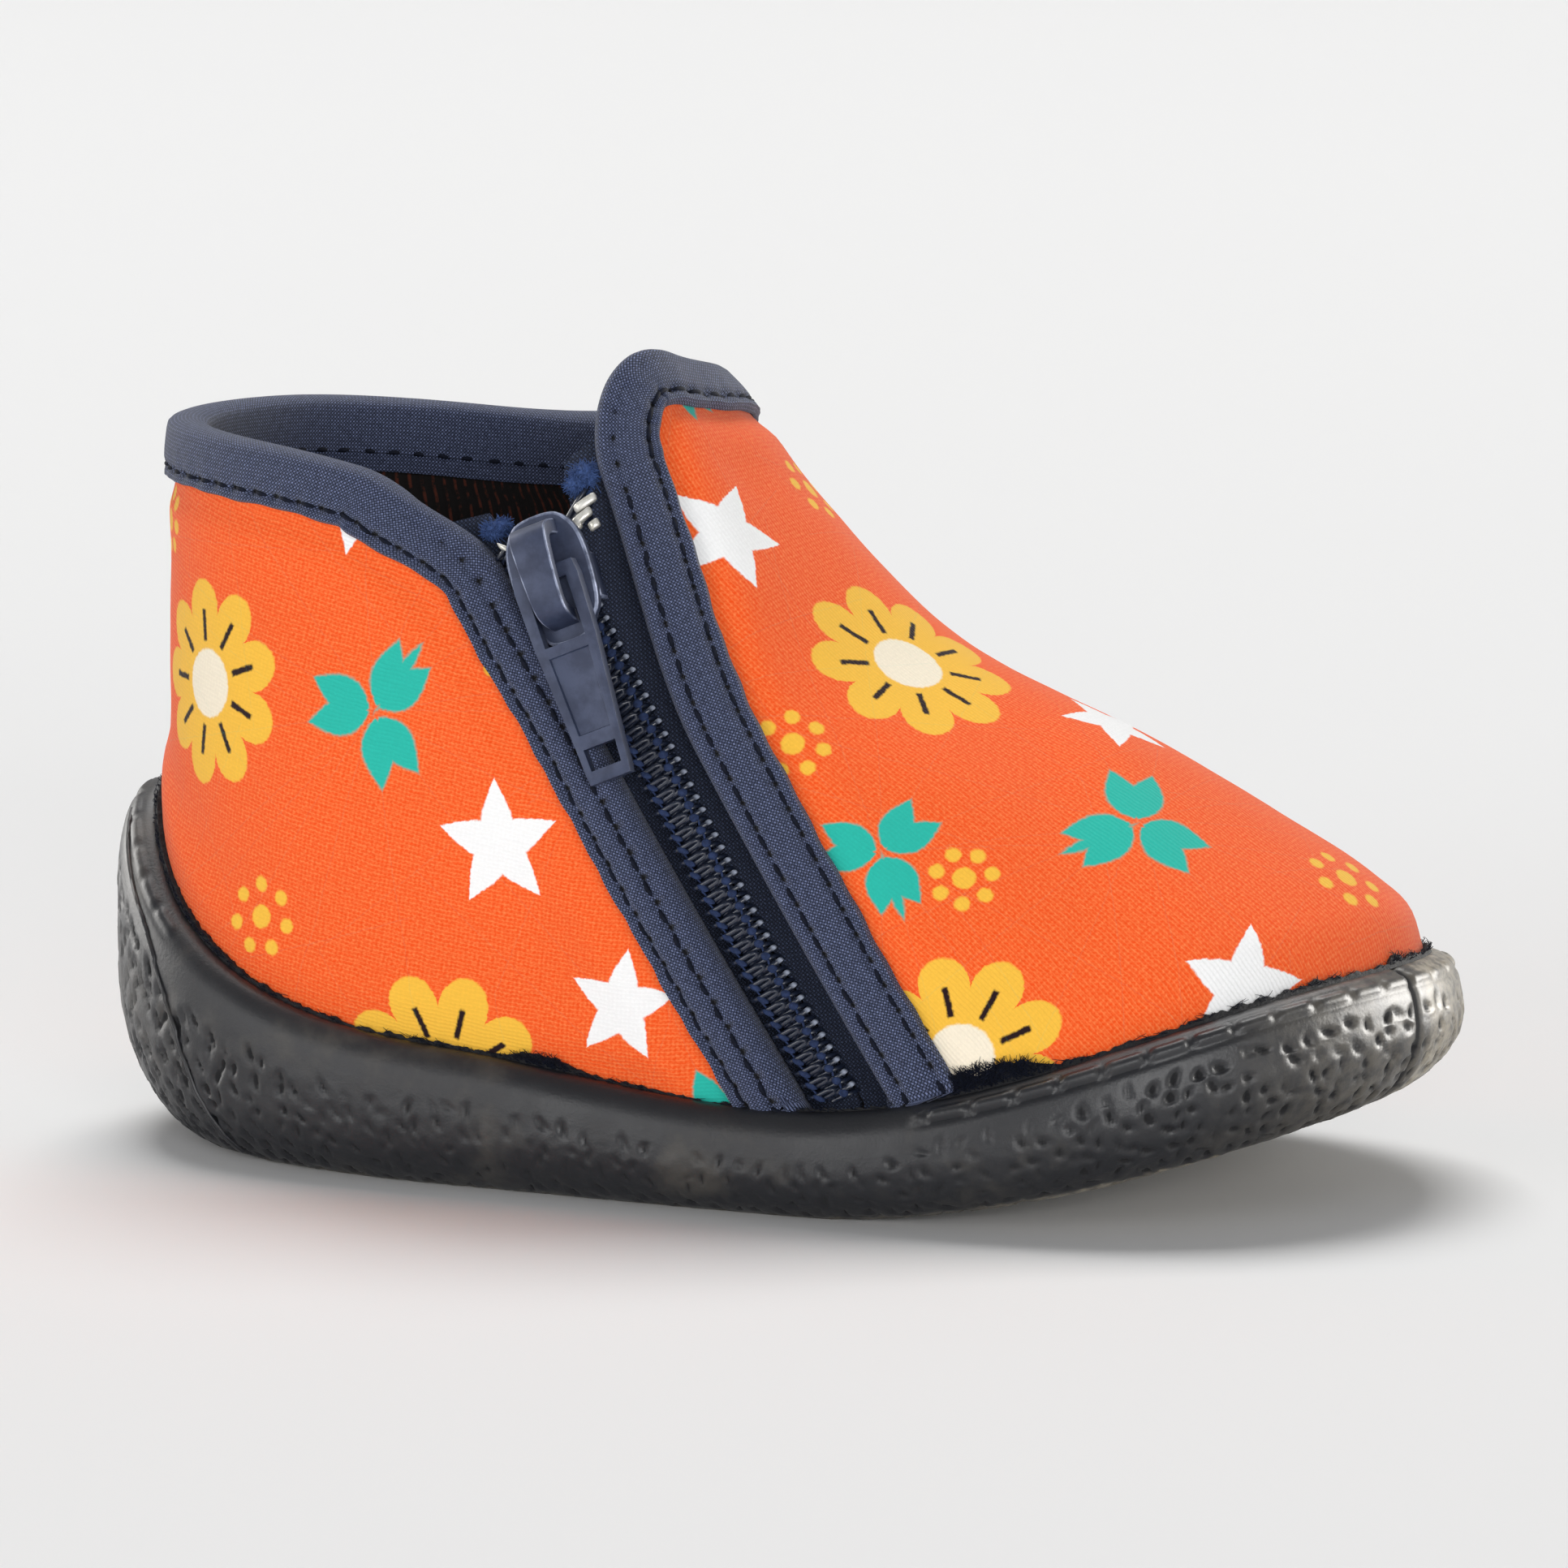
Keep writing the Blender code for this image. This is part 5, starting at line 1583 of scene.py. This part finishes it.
def make_tape_ends(thread):
    """Frayed end of each zip tape: a lumpy core with short curled fuzz all over it."""
    rng = np.random.default_rng(SEED)
    ball, ball_faces = bead(24, 14)
    sides, rows = 3, 6
    steps = np.linspace(0, 1, rows)[:, None]
    cores, hairs = [], []
    for tuft in TAPE_TUFTS:
        middle = np.array([tuft.across, TOP_RUN - tuft.below, tuft.out])
        half = np.array(tuft[3:])
        lumps = 1 + 0.22 * soft_noise(ball * 2 * half, 0.7, 5)
        cores.append(zip_point(*(middle + ball * 2 * half * lumps[:, None] * TUFT_CORE).T))
        ways = rng.normal(size=(TUFT_HAIRS, 3))
        ways /= np.linalg.norm(ways, axis=1, keepdims=True)
        for way in ways:
            curl = rng.normal(0, 0.28, 3)
            path = middle + way * half * TUFT_ROOT + way * rng.uniform(0.1, 0.32) * steps + curl * steps ** 2
            hairs.append(tube_rings(zip_point(*path.T), HAIR_RADIUS * (1 - 0.5 * steps[:, 0]), sides))
    pieces = (("tape_ends", cores, ball_faces), ("tape_fray", hairs, tube_faces(sides, rows)))
    for name, copies, faces in pieces:
        piece = joined(name, np.array(copies), faces)
        finish_piece(piece, "shoe", "zip_tape", thread)


def make_top_stops(metal):
    """Bright metal stops clamped on the last turns of the open rows."""
    points, faces = bead(12, 8)
    x, y, z = (np.sign(points) * np.abs(2 * points) ** STOP_SQUARENESS / 2).T
    copies = []
    for stop in TOP_STOPS:
        across = stop.side * stop.across + x * stop.length
        run = TOP_RUN - stop.below + y * STOP_WIDTH + x * stop.lean
        copies.append(zip_point(across, run, 0.1 + z * STOP_HEIGHT - 0.5 * x ** 2))
    piece = joined("zip_top_stops", np.array(copies), faces)
    finish_piece(piece, "shoe", "zip_metal", metal)


def rim_rise(place):
    """Millimetres up the wall for a climb of one, just above the rim."""
    return np.linalg.norm(wall_frame(place, np.full_like(place, 0.02))[1], axis=-1)


def flash_height(place):
    """Height of the ragged edge of rubber and fluff over the rim, in mm: low, with torn patches."""
    number = rib_number(place)
    height = np.full_like(number, FLASH_LOW)
    for patch in TORN_PATCHES:
        height += patch.height * np.exp(-((number - patch.rib) / patch.half_length) ** 4)
    for size, depth in ((7.0, 0.22), (1.1, 0.3), (0.4, 0.2)):
        height += depth * np.array([noise.noise(Vector((p / size, 3.0 + size, 0.0))) for p in place])
    return np.clip(height, 0.05, None)


def make_flash(rubber):
    """Ragged strip of rubber and fluff where the cloth goes into the sole."""
    piece = start_grid("rim_flash", FLASH_COLUMNS, FLASH_ROWS)
    share, level, _ = read_points(piece).T
    place = share * ROUND
    places = np.linspace(0, ROUND, FLASH_COLUMNS + 1)
    height = np.interp(place, places, flash_height(places))
    climb = (level * (height + FLASH_ROOT) - FLASH_ROOT) / rim_rise(place)
    write_points(piece, offset(place, climb, FLASH_OUT + FLASH_FOOT * (1 - level)))
    weld(piece)
    apply_modifier(piece, "SOLIDIFY", thickness=FLASH_THICKNESS * MM, offset=-1)
    shade_round(piece, 60.0)
    finish_piece(piece, "shoe", "sole", rubber)


def make_fluff(thread):
    """Short dark fibres along the ragged edge, most where it is torn."""
    rng = np.random.default_rng(SEED)
    sides, rows = 3, 5
    fine = np.linspace(0, ROUND, 4000)
    chance = flash_height(fine) ** 2
    places = rng.choice(fine, FLUFF_FIBRES, p=chance / chance.sum())
    steps = np.linspace(0, 1, rows)
    copies = []
    for place, height, rise in zip(places, flash_height(places), rim_rise(places)):
        level = rng.uniform(0.0, 0.95) * height
        length = rng.uniform(0.1, 0.35) * (1 + height)
        along = rng.normal(0, 0.5) * steps + rng.normal(0, 0.3) * steps ** 2
        climb = (level + length * steps) / rise
        path = offset(place + along, climb, FLUFF_OUT + rng.uniform(0.0, 0.4) * np.sin(2.6 * steps))
        copies.append(tube_rings(path, FIBRE_RADIUS * (1 - 0.6 * steps), sides))
    piece = joined("rim_fluff", np.array(copies), tube_faces(sides, rows))
    finish_piece(piece, "shoe", "edge_binding", thread)


# Materials


def add_node(tree, kind, inputs=(), **settings):
    """New node with its settings, its inputs fed by name or in order."""
    made = tree.nodes.new(kind)
    for name, value in settings.items():
        setattr(made, name, value)
    for key, value in inputs.items() if isinstance(inputs, dict) else enumerate(inputs):
        feed(made.inputs[key], value)
    return made


def feed(socket, value):
    """Links a field to a socket, or sets the socket to a palette colour or a plain value."""
    if isinstance(value, Field):
        socket.id_data.links.new(value.socket, socket)
    else:
        socket.default_value = screen_color(value) if isinstance(value, str) else value


def reckon(operation, *values):
    """Field worked out from fields and plain numbers by one node."""
    tree = next(value.tree for value in values if isinstance(value, Field))
    return Field(add_node(tree, "ShaderNodeMath", values, operation=operation).outputs[0])


class Field:
    """Value, colour or vector that changes over a surface; each step of reckoning with it adds a node."""

    def __init__(self, socket):
        self.socket = socket
        self.tree = socket.id_data

    def __add__(self, other):
        return reckon("ADD", self, other)

    def __sub__(self, other):
        return reckon("SUBTRACT", self, other)

    def __rsub__(self, other):
        return reckon("SUBTRACT", other, self)

    def __mul__(self, other):
        return reckon("MULTIPLY", self, other)

    def __truediv__(self, other):
        return reckon("DIVIDE", self, other)

    def __rtruediv__(self, other):
        return reckon("DIVIDE", other, self)

    def __pow__(self, other):
        return reckon("POWER", self, other)

    def __abs__(self):
        return reckon("ABSOLUTE", self)

    def ramp(self, low, high, start=0.0, end=1.0):
        """Smooth step from one value to another between two values of this one."""
        inputs = (self, low, high, start, end)
        made = add_node(self.tree, "ShaderNodeMapRange", inputs, interpolation_type="SMOOTHSTEP")
        return Field(made.outputs[0])

    def blend(self, first, second):
        """Two colours mixed by this share."""
        made = add_node(self.tree, "ShaderNodeMix", {0: self, 6: first, 7: second}, data_type="RGBA")
        return Field(made.outputs[2])

    def noise(self, scale, detail=2.0, roughness=0.5, output="Fac"):
        inputs = {"Vector": self, "Scale": scale, "Detail": detail, "Roughness": roughness}
        return Field(add_node(self.tree, "ShaderNodeTexNoise", inputs).outputs[output])

    def axes(self):
        parts = add_node(self.tree, "ShaderNodeSeparateXYZ", (self,)).outputs
        return [Field(part) for part in parts]

    def vector(self, operation, *others, output="Vector"):
        made = add_node(self.tree, "ShaderNodeVectorMath", (self, *others), operation=operation)
        return Field(made.outputs[output])

    def turned(self, angle):
        """Vector turned about its third axis."""
        inputs = {"Vector": self, "Angle": angle}
        made = add_node(self.tree, "ShaderNodeVectorRotate", inputs, rotation_type="Z_AXIS")
        return Field(made.outputs[0])

    def mapped(self, turn, scale=1.0):
        """Vector turned about all its axes and scaled."""
        inputs = {"Vector": self, "Rotation": turn, "Scale": (scale,) * 3}
        return Field(add_node(self.tree, "ShaderNodeMapping", inputs).outputs[0])

    def group(self, name, **values):
        """Outputs, by name, of a node group that reads this vector."""
        inputs = {"Vector": self, **values}
        made = add_node(self.tree, "ShaderNodeGroup", inputs, node_tree=bpy.data.node_groups[name])
        return {socket.name: Field(socket) for socket in made.outputs}


def start_group(name, inputs, outputs):
    """New node group; gives its inputs as fields and its outputs' sockets, both by name."""
    tree = bpy.data.node_groups.new(name, "ShaderNodeTree")
    for way, sockets in (("INPUT", inputs), ("OUTPUT", outputs)):
        for key, kind in sockets.items():
            tree.interface.new_socket(key, in_out=way, socket_type=kind)
    given = add_node(tree, "NodeGroupInput").outputs
    made = add_node(tree, "NodeGroupOutput").inputs
    return {key: Field(given[key]) for key in inputs}, made


NUMBER = "NodeSocketFloat"
VECTOR = "NodeSocketVector"


def start_texture(name):
    """Group of a fine texture: takes a map in mm and a pitch, gives height and shade."""
    return start_group(name, {"Vector": VECTOR, "Pitch": NUMBER}, {"Height": NUMBER, "Shade": NUMBER})


def knit_group():
    """Courses of fine jersey along the map's first axis, with their loops."""
    given, made = start_texture("knit courses")
    x, y, _ = given["Vector"].axes()
    wander = given["Vector"].noise(0.35) * 0.5 + y
    angle = wander / given["Pitch"] * FULL_TURN
    course = reckon("COSINE", angle)
    loops = reckon("COSINE", x * (FULL_TURN / KNIT_LOOP) + reckon("SINE", angle) * 0.9)
    speck = given["Vector"].noise(2.8, 3.0, 0.7)
    feed(made["Height"], speck * 0.6 + loops * 0.14 + course * 0.5)
    line = course.ramp(0.0, 1.0) * 0.16
    feed(made["Shade"], (speck * 0.9 + loops * 0.06 + line).ramp(0.25, 0.9))


def weave_group():
    """Plain weave with threads along the map's two axes."""
    given, made = start_texture("plain weave")
    vector = given["Vector"]
    pushed = vector.noise(0.8, output="Color").vector("MULTIPLY_ADD", (0.07, 0.07, 0.0), vector)
    sines = [reckon("SINE", axis / given["Pitch"] * math.pi) for axis in pushed.axes()[:2]]
    on_top = (sines[0] * sines[1]).ramp(-0.04, 0.04)
    wide = [abs(sine).ramp(0.0, 0.7) for sine in sines]
    narrow = [abs(sine).ramp(0.2, 1.0) for sine in sines]
    weft = wide[0] * narrow[1] * on_top
    warp = wide[1] * narrow[0] * (1.0 - on_top)
    feed(made["Height"], weft + warp)
    speck = vector.noise(1.7, 3.0, 0.7).ramp(0.25, 0.75, 0.5, 1.2)
    feed(made["Shade"], (warp * 0.5 + weft) * speck)


def place_group():
    """A motif's own axes in mm: centred, turned and repeated with the print."""
    inputs = {"Vector": VECTOR, "Centre": VECTOR, "Turn": NUMBER, "Repeat": VECTOR, "Half": VECTOR}
    given, made = start_group("motif place", inputs, {"Vector": VECTOR})
    moved = given["Vector"].vector("SUBTRACT", given["Centre"])
    low = given["Half"].vector("SUBTRACT", given["Repeat"])
    feed(made["Vector"], moved.vector("WRAP", given["Half"], low).turned(given["Turn"]))


def start_motif(kind, masks=("Mask",)):
    """Group of a motif: takes its own axes and a size in mm, gives its masks."""
    given, made = start_group(
        f"motif {kind}", {"Vector": VECTOR, "Size": NUMBER}, dict.fromkeys(masks, NUMBER)
    )
    return given["Vector"], given["Size"], made


def polar(vector):
    """Distance from the middle and the angle round it."""
    x, y, _ = vector.axes()
    return vector.vector("LENGTH", output="Value"), reckon("ARCTAN2", y, x)


def inked(room):
    """Mask of what has room left inside an outline, with the soft edge of printing ink."""
    return room.ramp(-SOFT_EDGE, SOFT_EDGE)


def blossom_group():
    """Round blossom: petals, a pale middle and dark strokes."""
    vector, size, made = start_motif("blossom", ("Petals", "Middle", "Strokes"))
    reach, angle = polar(vector)
    half_turn = angle * (BLOSSOM_PETALS / 2)
    lobes = abs(reckon("COSINE", half_turn))
    feed(made["Petals"], inked((lobes ** 0.55 * 0.34 + 0.66) * size - reach))
    feed(made["Middle"], inked(size * 0.33 - reach))
    long_room = size * 0.15 - abs(reach - size * 0.56)
    aside = abs(reckon("SINE", half_turn) * reach / BLOSSOM_PETALS)
    stroke = inked(long_room) * (0.14 - aside).ramp(-0.06, 0.06)
    feed(made["Strokes"], stroke * lobes.ramp(0.2, 0.5))


def leaf_mask(vector, turn, start, length, half_width):
    """Almond leaf that starts at a distance from the middle, at an angle."""
    x, y, _ = vector.turned(math.radians(turn)).axes()
    along = reckon("MINIMUM", reckon("MAXIMUM", (x - start) / length, 0.0), 1.0)
    belly = reckon("SINE", along ** 0.8 * math.pi)
    return inked(belly * half_width - abs(y) - 0.1)


def trefoil_group():
    """Three heart-shaped leaflets on a short stalk."""
    vector, size, made = start_motif("trefoil")
    scaled = add_node(vector.tree, "ShaderNodeVectorMath", operation="SCALE")
    feed(scaled.inputs[0], vector)
    feed(scaled.inputs["Scale"], 6.0 / size)
    drawn = Field(scaled.outputs[0])
    mask = leaf_mask(drawn, 90, -5.6, 6.0, 0.55)
    for turn in (30, 150, 270):
        for lean in (-17, 17):
            mask = reckon("MAXIMUM", mask, leaf_mask(drawn, lean - turn - 180, 0.35, 4.6, 1.25))
    feed(made["Mask"], mask)


def star_group():
    """Plump five-pointed star."""
    vector, size, made = start_motif("star")
    reach, angle = polar(vector)
    from_point = reckon("PINGPONG", angle, math.pi / 5)
    feed(made["Mask"], inked(size / (from_point * 1.9 + 1.0) - reach))


def dots_group():
    """Ring of small dots round one larger dot."""
    vector, size, made = start_motif("dots")
    reach, angle = polar(vector)
    half_share = math.pi / RING_DOTS
    folded = reckon("WRAP", angle, half_share, -half_share)
    x = reach * reckon("COSINE", folded) - size
    y = reach * reckon("SINE", folded)
    ring = inked(DOT_RADIUS - reckon("SQRT", x * x + y * y))
    feed(made["Mask"], reckon("MAXIMUM", ring, inked(1.5 * DOT_RADIUS - reach)))


def start_material(name, plain=()):
    """New material with plain values on its shader; gives its tree and its shader's sockets too."""
    made = bpy.data.materials.new(name)
    made.use_nodes = True
    shader = made.node_tree.nodes["Principled BSDF"].inputs
    for socket, value in dict(plain).items():
        shader[socket].default_value = value
    return made, made.node_tree, shader


def set_bump(shader, height, strength, distance):
    inputs = {"Height": height, "Strength": strength, "Distance": distance * MM}
    feed(shader["Normal"], Field(add_node(height.tree, "ShaderNodeBump", inputs).outputs[0]))


def map_in(tree, name):
    return Field(add_node(tree, "ShaderNodeUVMap", uv_map=name).outputs[0])


def value_in(tree, name):
    return Field(add_node(tree, "ShaderNodeAttribute", attribute_name=name).outputs["Fac"])


def object_mm(tree, turn=(0.0, 0.0, 0.0)):
    """The piece's own place in millimetres, turned as asked."""
    return Field(add_node(tree, "ShaderNodeTexCoord").outputs["Object"]).mapped(turn, 1 / MM)


def printed_color(cloth, color):
    """The print laid over the knit's own colour."""
    half = tuple(size / 2 for size in REPEAT)
    for motif in PRINT:
        centre, turn = (motif.x, motif.y, 0.0), math.radians(motif.turn)
        own = cloth.group("motif place", Centre=centre, Turn=turn, Repeat=REPEAT, Half=half)["Vector"]
        masks = own.group(f"motif {motif.kind}", Size=motif.size)
        for mask, ink in MOTIF_INKS[motif.kind].items():
            color = masks[mask].blend(color, ink)
    return color


def knit_material():
    """Printed orange jersey with level courses and a soft nap."""
    plain = {"Roughness": 0.92, "Sheen Weight": 0.1, "Sheen Roughness": 0.5, "Specular IOR Level": 0.1}
    made, tree, shader = start_material("printed_knit", plain)
    cloth = map_in(tree, "cloth")
    courses = cloth.group("knit courses", Pitch=KNIT_COURSE)
    rough_edge = cloth.noise(2.4, output="Color").vector("MULTIPLY_ADD", (0.34, 0.34, 0.0), cloth)
    color = printed_color(rough_edge, courses["Shade"].blend("orange", "orange lit"))
    shade = courses["Shade"].ramp(0.0, 1.0, 0.93, 1.0)
    tone = add_node(tree, "ShaderNodeHueSaturation", {"Color": color, "Value": shade})
    feed(shader["Base Color"], Field(tone.outputs[0]))
    set_bump(shader, courses["Height"], 0.3, 0.1)
    return made


def lining_material():
    """Dark brushed lining with fine upright rust ribs."""
    made, tree, shader = start_material("dark_lining", {"Roughness": 0.95})
    round_lining = map_in(tree, "strip").axes()[0] * LINING_LENGTH
    fluff = object_mm(tree).noise(0.9, 3.0, 0.7)
    rib = reckon("COSINE", round_lining * (FULL_TURN / LINING_RIB))
    broken = rib.ramp(0.35, 0.95) * fluff.ramp(0.42, 0.62)
    feed(shader["Base Color"], broken.blend("lining", "lining rib"))
    set_bump(shader, fluff * 1.2 + rib, 0.6, 0.2)
    return made


def bias_material():
    """Navy bias tape: plain weave across the slant, with painted shade in each needle hole."""
    plain = {"Roughness": 0.85, "Specular IOR Level": 0.2, "Sheen Weight": 0.14}
    made, tree, shader = start_material("navy_bias_tape", plain)
    slanted = map_in(tree, "tape").mapped((0.0, 0.0, math.radians(45.0)))
    weave = slanted.group("plain weave", Pitch=BIAS_THREAD)
    woven = weave["Shade"].blend("navy", "navy lit")
    # Thread colour painted into each needle hole as its shade
    feed(shader["Base Color"], value_in(tree, "hole").ramp(0.25, 0.7).blend(woven, "thread"))
    set_bump(shader, weave["Height"], 0.6, 0.1)
    return made


def woven_tape_material():
    """Close-woven navy zip tape."""
    made, tree, shader = start_material("navy_zip_tape", {"Roughness": 0.85})
    x, _, z = object_mm(tree, (0.0, math.radians(-35.0), 0.0)).axes()
    flat = Field(add_node(tree, "ShaderNodeCombineXYZ", (x, z)).outputs[0])
    weave = flat.group("plain weave", Pitch=TAPE_THREAD)
    feed(shader["Base Color"], weave["Shade"].blend("zip tape", "tape lit"))
    set_bump(shader, weave["Height"], 0.6, 0.15)
    return made


def thread_material(name, dark, light):
    """Twisted sewing thread."""
    made, tree, shader = start_material(name, {"Roughness": 0.8, "Specular IOR Level": 0.15})
    strands = object_mm(tree, (0.5, 0.7, 0.3)).noise(2.4)
    feed(shader["Base Color"], strands.blend(dark, light))
    set_bump(shader, strands, 0.5, 0.1)
    return made


def nylon_material():
    """Glossy dark nylon wire, with a pale painted highlight on the outer bends of its turns."""
    made, tree, shader = start_material("nylon_coil", {"Coat Weight": 0.4, "Coat Roughness": 0.2})
    streaks = object_mm(tree).noise(1.4)
    dark = streaks.blend("coil", "zip tape")
    # The bend value paints a highlight onto the wire's outer bends
    feed(shader["Base Color"], value_in(tree, "bend").ramp(0.2, 1.0).blend(dark, "bend"))
    feed(shader["Roughness"], streaks.ramp(0.3, 0.7, 0.26, 0.38))
    return made


def paint_material(name, dark, light):
    """Satin paint on cast metal, rubbed a little paler in patches."""
    made, tree, shader = start_material(name, {"Metallic": 0.2})
    rubbed = object_mm(tree).noise(0.5, 4.0, 0.6)
    feed(shader["Base Color"], rubbed.ramp(0.35, 0.65).blend(dark, light))
    feed(shader["Roughness"], rubbed.ramp(0.3, 0.7, 0.55, 0.46))
    set_bump(shader, object_mm(tree).noise(2.2), 0.2, 0.08)
    return made


def bright_metal_material():
    """Bare bright metal of the stops."""
    made, tree, shader = start_material("bright_metal", {"Metallic": 0.35})
    scuffs = object_mm(tree).noise(1.6, 3.0)
    feed(shader["Roughness"], scuffs.ramp(0.3, 0.7, 0.2, 0.4))
    feed(shader["Base Color"], scuffs.blend("metal", "floor"))
    return made


def rubber_material():
    """Charcoal rubber: painted shade and dullness in the pits, dusty in places, painted pale as the highlight
    of side light at the toe and heel, duller on the inner side.
    """
    made, tree, shader = start_material("moulded_rubber")
    place = object_mm(tree)
    pit = value_in(tree, "pit")
    cloud = place.noise(0.12, 4.0, 0.6)
    broken = place.noise(0.7, 3.0, 0.65).ramp(0.3, 0.65, 0.25, 1.0)
    # Random dust, and the tread's dusty edge with painted side light at the toe and heel
    dust_and_painted_light = reckon("MAXIMUM", cloud.ramp(0.5, 0.8, 0.0, 0.12), value_in(tree, "dust_and_painted_light") * broken)
    dust_and_light_color = dust_and_painted_light.blend("rubber", "rubber dust and painted light")
    # Painted shade in the pits and the toe groove, by their depth
    feed(shader["Base Color"], pit.ramp(-0.05, -0.32).blend(dust_and_light_color, "painted pit shade"))
    dull_inner_side = place.axes()[1].ramp(6.0, 18.0, 0.0, 0.72)
    dull = reckon("MAXIMUM", dull_inner_side, pit.ramp(-0.03, -0.3, 0.0, 0.9))
    feed(shader["Roughness"], reckon("MAXIMUM", cloud.ramp(0.3, 0.7, 0.37, 0.48), dull))
    set_bump(shader, place.noise(3.2, 3.0, 0.6), 0.3, 0.09)
    return made


def ragged_material():
    """Black rubber and fluff at the rim."""
    made, tree, shader = start_material("ragged_rim", {"Roughness": 0.85})
    rough = object_mm(tree).noise(1.8, 4.0, 0.7)
    feed(shader["Base Color"], rough.ramp(0.45, 0.75).blend("thread", "rubber"))
    set_bump(shader, rough, 0.9, 0.3)
    return made


def insole_material():
    """Dark brushed foot bed."""
    made, tree, shader = start_material("brushed_insole", {"Roughness": 0.95})
    nap = object_mm(tree).noise(1.5, 4.0, 0.7)
    feed(shader["Base Color"], nap.blend("lining", "brown ink"))
    set_bump(shader, nap, 0.8, 0.3)
    return made


def floor_material():
    """Pale floor with a faint mottle."""
    made, tree, shader = start_material("pale_floor", {"Roughness": 0.9, "Specular IOR Level": 0.1})
    feed(shader["Base Color"], object_mm(tree).noise(0.004).blend("floor", FLOOR_MOTTLE))
    return made


# Stage


def make_floor():
    """Pale floor that sweeps up behind the shoe."""
    floor = start_grid("pale_floor", 8, 60)
    share = read_points(floor)
    run = share[:, 1] * FLOOR_LENGTH - FLOOR_FRONT
    bend = np.clip(run - SWEEP_START, 0, None)
    turn = np.clip(bend / SWEEP_RADIUS, 0, math.pi / 2)
    over = np.clip(bend - SWEEP_RADIUS * math.pi / 2, 0, None)
    y = np.minimum(run, SWEEP_START) + SWEEP_RADIUS * np.sin(turn)
    z = SWEEP_RADIUS * (1 - np.cos(turn)) + over
    points = np.stack([(share[:, 0] - 0.5) * FLOOR_WIDTH, y, z], axis=1)
    floor.data.vertices.foreach_set("co", points.astype(np.float32).ravel())
    floor.data.update()
    bpy.ops.object.shade_smooth()
    floor.data.materials.append(floor_material())


def make_light():
    """Plain soft studio light, with cards that show only in the gloss of both ends."""
    world = bpy.data.worlds.new("studio")
    world.use_nodes = True
    background = world.node_tree.nodes["Background"].inputs
    background["Color"].default_value = WORLD_COLOR
    background["Strength"].default_value = WORLD_STRENGTH
    scene = bpy.context.scene
    scene.world = world
    scene.view_settings.view_transform = "Standard"
    for row in LIGHTS:
        data = bpy.data.lights.new(row.name, "AREA")
        data.shape = "RECTANGLE"
        data.size, data.size_y = row.size
        data.energy = row.power
        data.color = row.color
        light = bpy.data.objects.new(row.name, data)
        light.location = row.place
        light.rotation_euler = (Vector(row.aim) - Vector(row.place)).to_track_quat("-Z", "Y").to_euler()
        light.visible_diffuse = not row.gloss_only
        scene.collection.objects.link(light)


def make_camera():
    """Camera at the photograph's angle."""
    azimuth, elevation = math.radians(CAMERA_AZIMUTH), math.radians(CAMERA_ELEVATION)
    level = math.cos(elevation)
    back = Vector((math.sin(azimuth) * level, -math.cos(azimuth) * level, math.sin(elevation)))
    data = bpy.data.cameras.new("photo_view")
    camera = bpy.data.objects.new("photo_view", data)
    bpy.context.scene.collection.objects.link(camera)
    camera.location = CAMERA_FOCUS + back * CAMERA_DISTANCE
    camera.rotation_euler = (-back).to_track_quat("-Z", "Y").to_euler()
    data.sensor_width = SENSOR_WIDTH
    data.lens = SENSOR_WIDTH * CAMERA_DISTANCE / (PHOTO_PIXELS / PIXELS_PER_MM * MM)
    data.shift_x = (PHOTO_PIXELS / 2 - FOCUS_PIXEL[0]) / PHOTO_PIXELS
    data.shift_y = (FOCUS_PIXEL[1] - PHOTO_PIXELS / 2) / PHOTO_PIXELS
    data.clip_start = CLIP_START
    bpy.context.scene.camera = camera


def dress_node(node, made):
    """Gives a solid that stays its own material."""
    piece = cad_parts[node]
    piece.data.materials.clear()
    piece.data.materials.append(made)


def main():
    for make_group in (
        knit_group, weave_group, place_group, blossom_group, trefoil_group, star_group, dots_group
    ):
        make_group()
    seam_thread = thread_material("seam_thread", "thread", "navy")
    zip_thread = thread_material("zip_thread", "zip tape", "zip thread")
    paint = paint_material("painted_metal", "paint", "paint lit")
    # Paler paint on the rounded edges, for wear and a painted edge highlight
    edge_wear_and_highlight = paint_material("edge_wear_and_highlight_paint", "paint lit", "paint edge wear and highlight")
    make_camera()
    make_sole(rubber_material())
    make_upper(knit_material(), lining_material())
    make_binding(bias_material())
    make_topstitches(seam_thread)
    make_coil(nylon_material())
    make_zip_thread(zip_thread)
    make_slider(paint, edge_wear_and_highlight)
    make_pull_tab(paint, edge_wear_and_highlight)
    make_tape_ends(thread_material("fray_thread", "zip tape", "fray lit"))
    make_top_stops(bright_metal_material())
    make_flash(ragged_material())
    make_fluff(seam_thread)
    tape = woven_tape_material()
    dress_node("zip_tape_rear", tape)
    dress_node("zip_tape_front", tape)
    dress_node("insole", insole_material())
    make_floor()
    make_light()


main()
